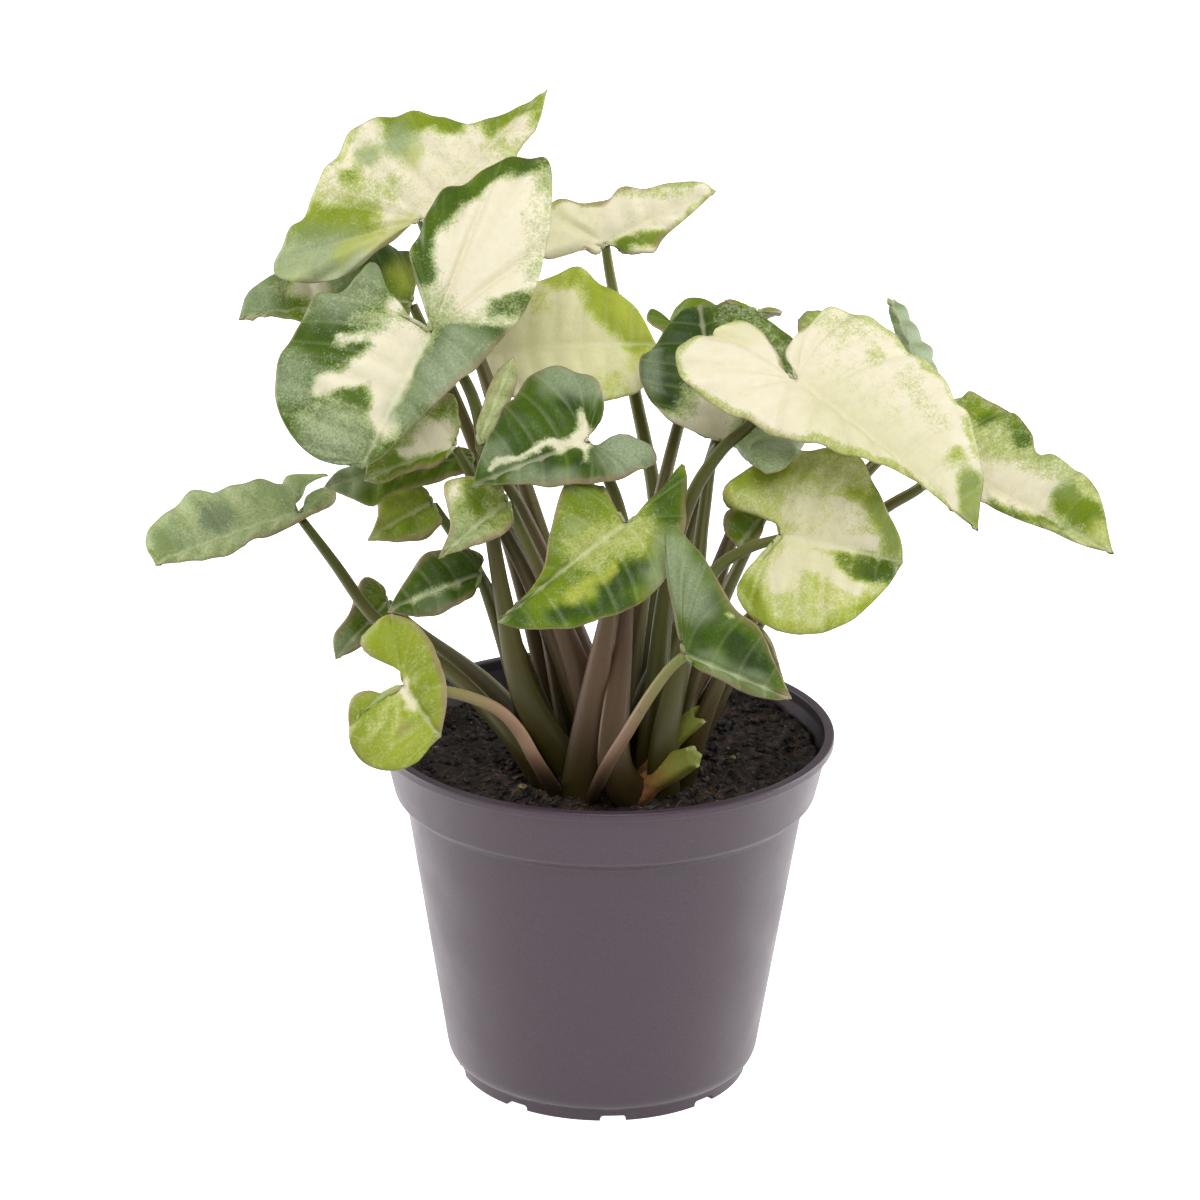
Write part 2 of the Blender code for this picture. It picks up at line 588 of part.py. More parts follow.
def cut_away(target, name, shape, place, cutters):
    """Cut a shape out of the target at a place."""
    mesh = bpy.data.meshes.new(name)
    shape.to_mesh(mesh)
    shape.free()
    tool = mesh_object(name, mesh, cutters)
    tool.matrix_world = place
    tool.hide_render = True
    tool.display_type = "WIRE"
    cut = target.modifiers.new(name, "BOOLEAN")
    cut.operation = "DIFFERENCE"
    cut.object = tool


def build_pot(group, cutters):
    material = plain_material("nursery_pot", POT_GREY, POT_ROUGHNESS)
    pot = turned("nursery_pot", pot_profile(), group, material)
    for k in range(FOOT_GAPS):
        slot = bmesh.new()
        bmesh.ops.create_cube(slot, size=MM)
        size = (3 * FOOT_WIDTH, FOOT_GAP_WIDTH, 2 * FOOT_GAP_HEIGHT)
        bmesh.ops.scale(slot, vec=size, verts=slot.verts)
        angle = math.radians(FIRST_GAP_ANGLE + 360.0 * k / FOOT_GAPS)
        place = round_the_axis(angle, FOOT_RADIUS - FOOT_WIDTH / 2, 0.0)
        cut_away(pot, f"foot_gap_{k}", slot, place, cutters)
    for k in range(DRAIN_HOLES):
        drill = bmesh.new()
        bmesh.ops.create_cone(drill, cap_ends=True, segments=DRAIN_HOLE_SIDES,
                              radius1=DRAIN_HOLE_RADIUS * MM, radius2=DRAIN_HOLE_RADIUS * MM,
                              depth=3 * FLOOR_THICKNESS * MM)
        angle = math.tau * (k + 0.5) / DRAIN_HOLES
        place = round_the_axis(angle, DRAIN_RING_RADIUS, FLOOR_UNDERSIDE + FLOOR_THICKNESS / 2)
        cut_away(pot, f"drain_hole_{k}", drill, place, cutters)


def build_soil(group):
    """The block of potting soil, just clear of the pot's inside."""
    side = WALL_THICKNESS + SOIL_SIDE_GAP
    low_radius = WALL_LOW_RADIUS - side - INNER_CORNER
    collar_radius = COLLAR_LOW_RADIUS - side
    profile = [
        (0.0, SOIL_TOP),
        (collar_radius - SOIL_EDGE_WIDTH, SOIL_TOP),
        (collar_radius, SOIL_TOP - SOIL_EDGE_DROP),
        (collar_radius, COLLAR_LOW_HEIGHT + INNER_STEP_RISE + TOUCHING_GAP),
        (WALL_TOP_RADIUS - side, WALL_TOP_HEIGHT),
        (low_radius, FLOOR_TOP + TOUCHING_GAP),
        (0.0, FLOOR_TOP + TOUCHING_GAP),
    ]
    turned("potting_soil", profile, group,
           plain_material("potting_soil", SOIL_BROWN, SOIL_ROUGHNESS))


def build_plant(group):
    for name, leaf in LEAVES.items():
        colour = LEAF_CREAM if name in CREAM_LEAVES else LEAF_GREEN
        blade_material = plain_material(f"leaf_{name}", colour, LEAF_ROUGHNESS)
        joint, normal = build_leaf(f"leaf_{name}", leaf, group, blade_material)
        stalk_material = plain_material(f"stalk_{name}", STALK_BROWN, STALK_ROUGHNESS)
        build_stalk(f"stalk_{name}", leaf, joint, normal, group, stalk_material)
    tube("cut_stump", [Vector(STUMP_FOOT), Vector(STUMP_TOP)], STUMP_RADII, group,
         plain_material("cut_stump", STUMP_OLIVE, STUMP_ROUGHNESS))


def main():
    clear_scene()
    group = new_collection("arrowhead_plant")
    cutters = new_collection("cutters")
    build_pot(group, cutters)
    build_soil(group)
    build_plant(group)


main()
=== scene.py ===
import math
import random

import bmesh
import bpy
from mathutils import Matrix, Vector, noise


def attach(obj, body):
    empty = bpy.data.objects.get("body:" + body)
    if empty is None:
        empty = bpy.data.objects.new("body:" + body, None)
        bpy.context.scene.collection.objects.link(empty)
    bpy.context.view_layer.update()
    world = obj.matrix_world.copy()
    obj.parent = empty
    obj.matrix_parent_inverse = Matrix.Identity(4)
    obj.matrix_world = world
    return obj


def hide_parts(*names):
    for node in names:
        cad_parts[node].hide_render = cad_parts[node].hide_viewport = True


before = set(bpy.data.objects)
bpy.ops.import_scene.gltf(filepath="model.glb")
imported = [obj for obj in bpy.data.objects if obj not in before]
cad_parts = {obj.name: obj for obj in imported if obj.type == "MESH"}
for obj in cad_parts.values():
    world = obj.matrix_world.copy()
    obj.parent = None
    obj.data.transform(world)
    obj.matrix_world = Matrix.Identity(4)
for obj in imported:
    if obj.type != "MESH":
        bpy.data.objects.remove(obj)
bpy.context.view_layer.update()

MM = 0.001

# The leaves are set out as the plant is seen from its front, a little from above. A point is
# millimetres right and up of the view's middle, and millimetres nearer to the eye.
VIEW_CENTRE = Vector((-1.8, 0.0, 130.8))
VIEW_DISTANCE = 1100.0
VIEW_PITCH = math.radians(19.6)
VIEW_ROLL = math.radians(0.6)
VIEW_WIDTH = 311.3
VIEW_RIGHT = Vector((1.0, 0.0, 0.0))
VIEW_UP = Vector((0.0, math.sin(VIEW_PITCH), math.cos(VIEW_PITCH)))
VIEW_TOWARD = Vector((0.0, -math.cos(VIEW_PITCH), math.sin(VIEW_PITCH)))

# The pot.
POT_HEIGHT = 95.5
RIM_RADIUS = 60.0
LIP_DEPTH = 2.2
LIP_WIDTH = 2.6
COLLAR_TOP_RADIUS = 58.4
COLLAR_LOW_RADIUS = 55.4
COLLAR_LOW_HEIGHT = 79.5
WALL_TOP_RADIUS = 52.4
WALL_TOP_HEIGHT = 77.0
WALL_LOW_RADIUS = 41.2
WALL_LOW_HEIGHT = 5.0
WALL_THICKNESS = 1.3
FLOOR_UNDERSIDE = 2.4
FLOOR_TOP = 3.8
FOOT_RADIUS = 38.6
FOOT_WIDTH = 3.6
FOOT_GAPS = 9
FOOT_GAP_WIDTH = 6.8
FOOT_GAP_HEIGHT = 1.6
FIRST_GAP_ANGLE = -85.5
DRAIN_HOLES = 6
DRAIN_HOLE_RADIUS = 4.0
DRAIN_RING_RADIUS = 27.0
DRAIN_CUTTER_LENGTH = 6.0
CUTTER_ROUNDING = 0.9
POT_STEPS = 160
SCREW_MERGE = 0.00002
SHARP_ANGLE = math.radians(35)
# How far the wall's inside is drawn towards near black.
INNER_WALL_DARKENING = 0.85

# The soil, the clump of stalks and the stump.
SOIL_TOP = 86.5
SOIL_RADIUS = 55.4
SOIL_DEPTH = 6.0
SOIL_TAPER = 0.975
SOIL_CELL = 0.75
SOIL_SIDES = 360
CRUMB_COUNT = 1500
CRUMB_FREE_RADIUS = 15.0
BARK_SHARE = 0.05
PALE_CRUMB_SHARE = 0.025
FIBRE_COUNT = 16
FIBRE_SIDES = 6
CLUMP_CENTRE = (2.0, -12.0)
RING_RADIUS = {"outer": 19.0, "middle": 11.4, "inner": 4.6}
STALK_COLLAR = 2.5
STALK_BOW = 0.12
STALK_SINK = 5.0
STALK_SIDES = 20
STUB_SIDES = 20
STUB_STEPS = 26
STALK_STEP = 1.6
STALK_TOP_RADIUS = 1.25
STALK_MID_RADIUS = 2.5
SHEATH_LENGTH = 76.0
SHEATH_THICKER = 0.7
SHEATH_WIDER = {"outer": 2.8, "middle": 2.7, "inner": 2.1}
# The strands in a stalk's skin are 14 mm long, and 0.56 mm apart where its radius is 2.5 mm.
STRAND_LENGTH = 14.0
STRANDS_ACROSS_RADIUS = 4.5

# Blades: the spacing of the mesh, thicknesses, the relief of the veins, the wave of a margin, and
# how soon all of these set in beside the joint.
RIB_SPACING = 1.25
COLUMN_SPACING = 1.25
MARGIN_POINTS = 260
CURVE_STEPS = 12
BLADE_THICKNESS = 0.4
KEEL_THICKNESS = 1.7
KEEL_HALF_WIDTH = 1.3
BLADE_CROWN = 0.07
BLADE_ARCH = 0.025
VEIN_SLANT = 0.15
VEIN_SWEEP = 0.07
VEIN_SPACING = 6.5
LOBE_VEINS = 3
QUILT_HEIGHT = 1.0
QUILT_FLANK = 2.6
GROOVE_DEPTH = 0.4
GROOVE_WIDTH = 0.9
MIDRIB_GROOVE = 0.5
MIDRIB_GROOVE_WIDTH = 2.2
MIDRIB_FROM_MARGIN = 30.0
CALM_BESIDE_JOINT = (0.5, 6.0)
JOINT_DIMPLE = 0.35
JOINT_DIMPLE_RADIUS = 5.0
LEAST_LOBE = 12
CLEAR_OF_JOINT = 1.5
MARGIN_WAVE = 1.1
MARGIN_WAVE_LENGTH = 17.0
PUCKER = 1.3
PUCKER_SIZE = 11.0
# What the wandering of the colour patches' edges is drawn from.
PATCH_SEED = 1795602393
VEIN_CREAM = 0.04
UNDERSIDE_PALLOR = 0.45

# The studio: the white surroundings, then each soft light's name, place, aim, width and watts, in
# metres.
SENSOR_WIDTH = 36.0
WORLD_LIGHT = 0.52
FLOOR_GLOW = 1.0
FLOOR_HALF_SIZE = 6.0
LIGHTS = [
    ("soft_key", (0.10, -0.80, 1.15), (0.0, 0.0, 0.13), 1.0, 11.0),
    ("left_edge_light", (-0.95, 0.35, 0.30), (0.0, 0.0, 0.10), 0.8, 8.0),
    ("right_edge_light", (0.95, 0.35, 0.30), (0.0, 0.0, 0.10), 0.8, 8.0),
]

# Each leaf: where its stalk joins, its tip, how near the joint is, how much nearer it gets for
# each millimetre to the right (turn) and up (lean), and how far its margins rise above its
# midrib (fold). Both sides of the outline run from the joint round the lobe to the tip. A third
# number in a point moves it nearer by that much. stalk names the ring and the angle of its foot,
# and route the points that a stalk seen in the open passes.
LEAVES = {
    "crown_left": {
        "joint": (-47.5, 98.5), "tip": (-15, 132.5), "near": 2, "turn": 0.1, "lean": -0.45, "fold": 4,
        "upper": [(-56, 92.5), (-71, 83), (-82.5, 83), (-86, 87), (-79, 99.5), (-68.5, 117),
                  (-58.5, 124.5), (-43.5, 125), (-33.5, 122.5), (-21.5, 128)],
        "lower": [(-43.5, 94), (-34.5, 93), (-27, 101), (-22.5, 115), (-17.5, 122)],
        "stalk": ("inner", 100),
    },
    "front_butterfly": {
        "joint": (-44.5, 69), "tip": (-62, 33.5), "near": 36, "turn": 0, "lean": -0.3, "fold": 4,
        "upper": [(-50.5, 73), (-55.5, 80), (-60.5, 87), (-67, 80.5), (-75, 77), (-81, 66.5),
                  (-85, 56.5), (-83, 46), (-75.5, 37)],
        "lower": [(-46.5, 76), (-49.5, 86.5), (-48, 96), (-42.5, 105), (-32.5, 111), (-21.5, 116),
                  (-14, 112.5), (-14, 97), (-18.5, 79), (-29, 64), (-44.5, 49), (-56, 37)],
        "stalk": ("middle", 230),
        "route": [(-18.5, -26, 12), (-25, -0.5, 18), (-29.5, 25.5, 25), (-32, 47, 29), (-37, 59, 30)],
    },
    "behind_left": {
        "joint": (-49.5, 77), "tip": (-94.5, 72), "near": -8, "turn": 0.1, "lean": -1.1, "fold": 2,
        "upper": [(-47.5, 86.5), (-53, 91), (-60.5, 91.5), (-71, 86.5), (-85, 83.5), (-91.5, 78.5)],
        "lower": [(-52, 71), (-63, 68.5), (-76, 70), (-87, 72.5)],
        "stalk": ("outer", 122),
    },
    "back_top": {
        "joint": (0.5, 92.5), "tip": (29, 106.5), "near": -30, "turn": 0, "lean": -0.4, "fold": 3,
        "upper": [(-2, 89.5), (-7.5, 92), (-15, 89), (-19, 94), (-15.5, 101), (-9, 104),
                  (0.5, 103.5), (4.5, 106.5), (14.5, 107.5), (25, 108.5)],
        "lower": [(5, 91), (12.5, 90), (15.5, 94), (22.5, 100)],
        "stalk": ("outer", 98),
        "route": [(8, -26, -16), (14.5, 0, -19), (14, 26, -22), (8.5, 53.5, -27), (2.5, 80.5, -32)],
    },
    "mid_cream": {
        "joint": (-32.5, 63.5), "tip": (14, 66.5), "near": -10, "turn": 0, "lean": -0.55, "fold": 3,
        "upper": [(-35.5, 68.5), (-34.5, 76), (-27, 81.5), (-16.5, 83), (-8, 85.5), (0.5, 81.5),
                  (8.5, 75.5)],
        "lower": [(-31.5, 58), (-26.5, 53), (-13.5, 50.5), (-0.5, 51), (9.5, 54), (13, 60.5)],
        "stalk": ("middle", 140),
    },
    "centre_dark": {
        "joint": (-4, 41), "tip": (-33.5, 29), "near": 42, "turn": 0, "lean": -0.5, "fold": 3,
        "upper": [(-1, 46.5), (0.5, 52.5), (-4.5, 59.5), (-12, 60.5), (-19.5, 57), (-25.5, 48.5),
                  (-30.5, 39.5)],
        "lower": [(0, 40), (6.5, 43), (12.5, 41.5), (14.5, 37), (10, 34), (-4.5, 29.5),
                  (-21, 29.5)],
        "stalk": ("outer", -70),
        "route": [(4, -41.5, 26), (6, -10.5, 28), (7, 10.5, 32), (4.5, 24.5, 35), (0, 35, 38)],
    },
    "curled_small": {
        "joint": (-38, 39.5), "tip": (-61.5, 30.5), "near": 24, "turn": 0, "lean": -0.4, "fold": 2,
        "upper": [(-37, 45), (-39, 52.5), (-46, 50), (-53.5, 48), (-59, 44)],
        "lower": [(-42, 34.5), (-49.5, 32.5), (-57, 29.5)],
        "stalk": ("inner", 265),
    },
    "left_band": {
        "joint": (-33, 37), "tip": (-72, 28.5), "near": 12, "turn": 0.1, "lean": -0.8, "fold": 2,
        "upper": [(-36, 39.5), (-44.5, 37), (-57.5, 35.5), (-66.5, 33.5)],
        "lower": [(-34.5, 32.5), (-44, 29.5), (-53.5, 26.5), (-59.5, 23.5), (-66.5, 26)],
        "stalk": ("inner", 185),
    },
    "far_left": {
        "joint": (-78.5, 22), "tip": (-115.5, 8), "near": -28, "turn": 0.2, "lean": -1.1, "fold": 2,
        "upper": [(-79.5, 25), (-76, 29.5), (-70.5, 33), (-78.5, 31.5), (-90.5, 28.5),
                  (-102.5, 27), (-113, 21.5), (-118, 14)],
        "lower": [(-76.5, 24.5), (-71, 29.5), (-69, 26), (-75.5, 21), (-83, 16.5), (-90.5, 13),
                  (-101.5, 9)],
        "stalk": ("outer", 200),
        "route": [(-19.5, -39.5, 8), (-28, -29, 3), (-38.5, -19, -3), (-49, -12, -9),
                  (-59, -4.5, -15), (-69, 9, -22)],
    },
    "left_twist": {
        "joint": (-55, -1), "tip": (-68.5, -16), "near": -32, "turn": 0, "lean": -0.3, "fold": 2,
        "upper": [(-56, 3), (-61, 5), (-63.5, 1.5), (-65, -4.5), (-69, -10)],
        "lower": [(-54, -5.5), (-58, -9.5), (-63.5, -14)],
        "stalk": ("outer", 146),
        "route": [(-30, -22, -20), (-48, -8, -36)],
    },
    "left_dark": {
        "joint": (-31, 6.5), "tip": (-55, -3.5), "near": 14, "turn": 0, "lean": -0.6, "fold": 3,
        "upper": [(-30.5, 11), (-35.5, 14), (-41.5, 13), (-48, 8.5), (-52.5, 1.5)],
        "lower": [(-32, 1.5), (-37, -2), (-44, -5), (-51, -4.5)],
        "stalk": ("outer", 176),
    },
    "low_left": {
        "joint": (-51, -22.5), "tip": (-41, -36), "near": 56, "turn": 0.15, "lean": -0.2, "fold": 3,
        "upper": [(-52.5, -18), (-60, -15), (-62, -10.5), (-59.5, -6.5), (-54.5, -4.5),
                  (-48.5, -6), (-44, -11), (-40.5, -18.5), (-39.5, -27.5)],
        "lower": [(-53.5, -25), (-60.5, -24), (-64.5, -26.5), (-64.5, -35.5), (-61.5, -42.5),
                  (-54, -45), (-47, -42.5)],
        "stalk": ("outer", 224),
        "route": [(-16, -41.5, 34), (-20.5, -34, 40), (-25.5, -29, 45), (-32, -26, 49), (-40, -24, 52)],
    },
    "centre_low": {
        "joint": (6.5, 20), "tip": (-26.5, -6), "near": 47, "turn": 0, "lean": -0.35, "fold": 4,
        "upper": [(4, 24), (1, 29.5), (-4.5, 31), (-10, 28.5), (-13, 18), (-14.5, 8.5),
                  (-19.5, 0.5)],
        "lower": [(10, 23), (15.5, 29), (21.5, 36.5), (22, 22.5), (19.5, 10.5), (14, 2), (4.5, -4),
                  (-7.5, -7.5), (-20, -8)],
        "stalk": ("outer", -118),
    },
    "droop_dark": {
        "joint": (22, -14), "tip": (50, -25), "near": 62, "turn": 0.1, "lean": -0.15, "fold": 3,
        "upper": [(20, -5.5), (17.5, 5.5), (16, 15.5), (19, 19.5), (26, 12.5), (35, -1.5),
                  (41.5, -7), (46, -16.5)],
        "lower": [(25, -17.5), (31.5, -20.5), (38.5, -24), (45.5, -25.5)],
        "stalk": ("outer", -107),
        "route": [(2, -43.5, 35), (7, -35, 45), (13, -25, 54), (18, -18, 58)],
    },
    "big_cream": {
        "joint": (50, 58), "tip": (98, 19), "near": 42, "turn": 0, "lean": -0.6, "fold": 4,
        "upper": [(48.5, 63), (48, 68), (52.5, 73), (61, 76), (69.5, 74), (79.5, 65.5), (88.5, 57),
                  (95, 47), (99, 33.5)],
        "lower": [(47, 60.5), (44, 67.5), (38.5, 73), (30.5, 73), (22, 68.5), (19, 64), (22, 57.5),
                  (33, 49), (47.5, 42), (63, 38), (79.5, 32), (90, 24.5)],
        "stalk": ("middle", 320),
        "route": [(14.5, -26, 14), (17.5, 5.5, 20), (23, 26, 28), (30.5, 38.5, 32), (38.5, 46, 34)],
    },
    "behind_cream": {
        "joint": (30.5, 41.5), "tip": (25, 77), "near": 14, "turn": 0, "lean": -0.5, "fold": 3,
        "upper": [(25, 43), (15.5, 48.5), (10.5, 55), (10, 62), (15, 68), (18, 72.5), (21, 76)],
        "lower": [(34.5, 40), (39.5, 36, 26), (44.5, 35.5, 30), (49.5, 38, 24), (53, 43.5, 8),
                  (53, 55), (49.5, 66.5), (42, 73.5), (33, 76)],
        "stalk": ("middle", 50),
        "route": [(13, -26, 2), (23.5, 0, 4), (26.5, 21, 6), (28.5, 36.5, 8)],
    },
    "back_arch": {
        "joint": (25, 66.5), "tip": (17, 70.5, -30), "near": -18, "turn": 0, "lean": 0, "fold": 1,
        "upper": [(18, 67.5, -5), (12, 72.5, -14), (12.5, 74, -22)],
        "lower": [(31.5, 70.5, -5), (33, 75, -12), (28, 77.5, -20), (21, 78, -26)],
        "stalk": ("middle", 95),
    },
    "back_green": {
        "joint": (40, 75.5), "tip": (36, 70.5, -29), "near": -20, "turn": 0, "lean": 0, "fold": 1,
        "upper": [(35, 75.5, -4), (31.5, 77, -12), (31, 75, -22)],
        "lower": [(44, 75, -3), (46.5, 74.5, -11), (45, 73.5, -19), (41, 72.5, -25)],
        "stalk": ("outer", 74),
        "route": [(14, -20, -26), (22, 14, -30)],
    },
    "back_right": {
        "joint": (54.5, 65), "tip": (64, 68.5, -30), "near": -14, "turn": 0, "lean": 0, "fold": 1,
        "upper": [(51, 68.5, -4), (50.5, 73, -12), (54, 75, -21), (60, 73, -27)],
        "lower": [(60.5, 64, -3), (67.5, 65.5, -12), (69, 67.5, -22)],
        "stalk": ("outer", 50),
    },
    "back_narrow": {
        "joint": (85.5, 50.5), "tip": (74, 79, -4), "near": -10, "turn": 0, "lean": 0, "fold": 1,
        "upper": [(80.5, 58.5, -4), (75.5, 69, -8), (74, 74.5, -8)],
        "lower": [(89, 53.5, -10), (85.5, 61, -20), (82.5, 66, -24), (79.5, 71.5, -20),
                  (76.5, 78, -12)],
        "stalk": ("outer", 26),
    },
    "far_right": {
        "joint": (87.5, 36.5), "tip": (133, 13.5), "near": 26, "turn": 0.7, "lean": -0.6, "fold": 3,
        "upper": [(86, 42.5), (87, 51.5), (93, 55), (104, 51), (111.5, 45), (114, 38.5), (122, 36),
                  (129.5, 29)],
        "lower": [(90, 30), (98, 26.5), (107, 22), (117, 18.5), (125.5, 15)],
        "stalk": ("outer", 2),
        "route": [(23.5, -23, -4), (41.5, -2, 0), (62, 15, 6), (73.5, 24.5, 12), (82.5, 30, 15)],
    },
    "heart_right": {
        "joint": (46.5, 17), "tip": (78.5, 10.5), "near": 36, "turn": 0, "lean": -0.3, "fold": 4,
        "upper": [(45, 21.5), (39, 23), (33, 24), (32, 28.5), (36.5, 34.5), (47, 39), (58, 40),
                  (67.5, 37), (72, 28), (77.5, 17.5)],
        "lower": [(42.5, 12.5), (37.5, 5.5), (36, 0.5), (43, -6.5), (54, -8.5), (64.5, -5.5),
                  (74.5, 4)],
        "stalk": ("outer", -46),
        "route": [(17, -36, 20), (23.5, -7.5, 24), (29, 7, 28), (37.5, 13.5, 33)],
    },
    "left_mid_pale": {
        "joint": (-24, 25.5), "tip": (-42, 10.5), "near": 34, "turn": 0, "lean": -0.4, "fold": 2,
        "upper": [(-26.5, 30.5), (-33.5, 32), (-40.5, 29.5), (-40, 23), (-39, 18)],
        "lower": [(-22.5, 20.5), (-26, 16), (-35, 12.5)],
        "stalk": ("middle", 275),
    },
    "left_back_yellow": {
        "joint": (-43.5, 25), "tip": (-60.5, 15), "near": 4, "turn": 0, "lean": -0.5, "fold": 2,
        "upper": [(-45.5, 28.5), (-52.5, 29), (-58.5, 27.5), (-58, 21.5)],
        "lower": [(-41.5, 20), (-45, 15.5), (-52, 14)],
        "stalk": ("middle", 185),
    },
    "young_roll": {
        "joint": (-32, 40), "tip": (-23, 63), "near": 35, "turn": 0, "lean": -0.1, "fold": 1,
        "upper": [(-32.5, 45.5), (-30.5, 52.5), (-27, 59.5)],
        "lower": [(-29, 41.5), (-25, 48.5), (-22, 56.5)],
        "stalk": ("inner", 345),
        "route": [(-6, -8, 12), (-21, 24, 21), (-28, 34, 30)],
    },
    "right_low_back": {
        "joint": (36, -10), "tip": (48, -20.5), "near": 26, "turn": 0, "lean": -0.2, "fold": 1,
        "upper": [(36.5, -7), (40.5, -6), (44.5, -9.5), (46.5, -15.5)],
        "lower": [(38, -15), (42, -20)],
        "stalk": ("outer", -22),
    },
    "right_fold": {
        "joint": (42.5, 23), "tip": (35.5, 14), "near": 22, "turn": 0, "lean": -0.2, "fold": 1,
        "upper": [(38, 25), (32.5, 23), (32, 18)],
        "lower": [(42, 18), (39.5, 14.5)],
        "stalk": ("middle", 5),
    },
}
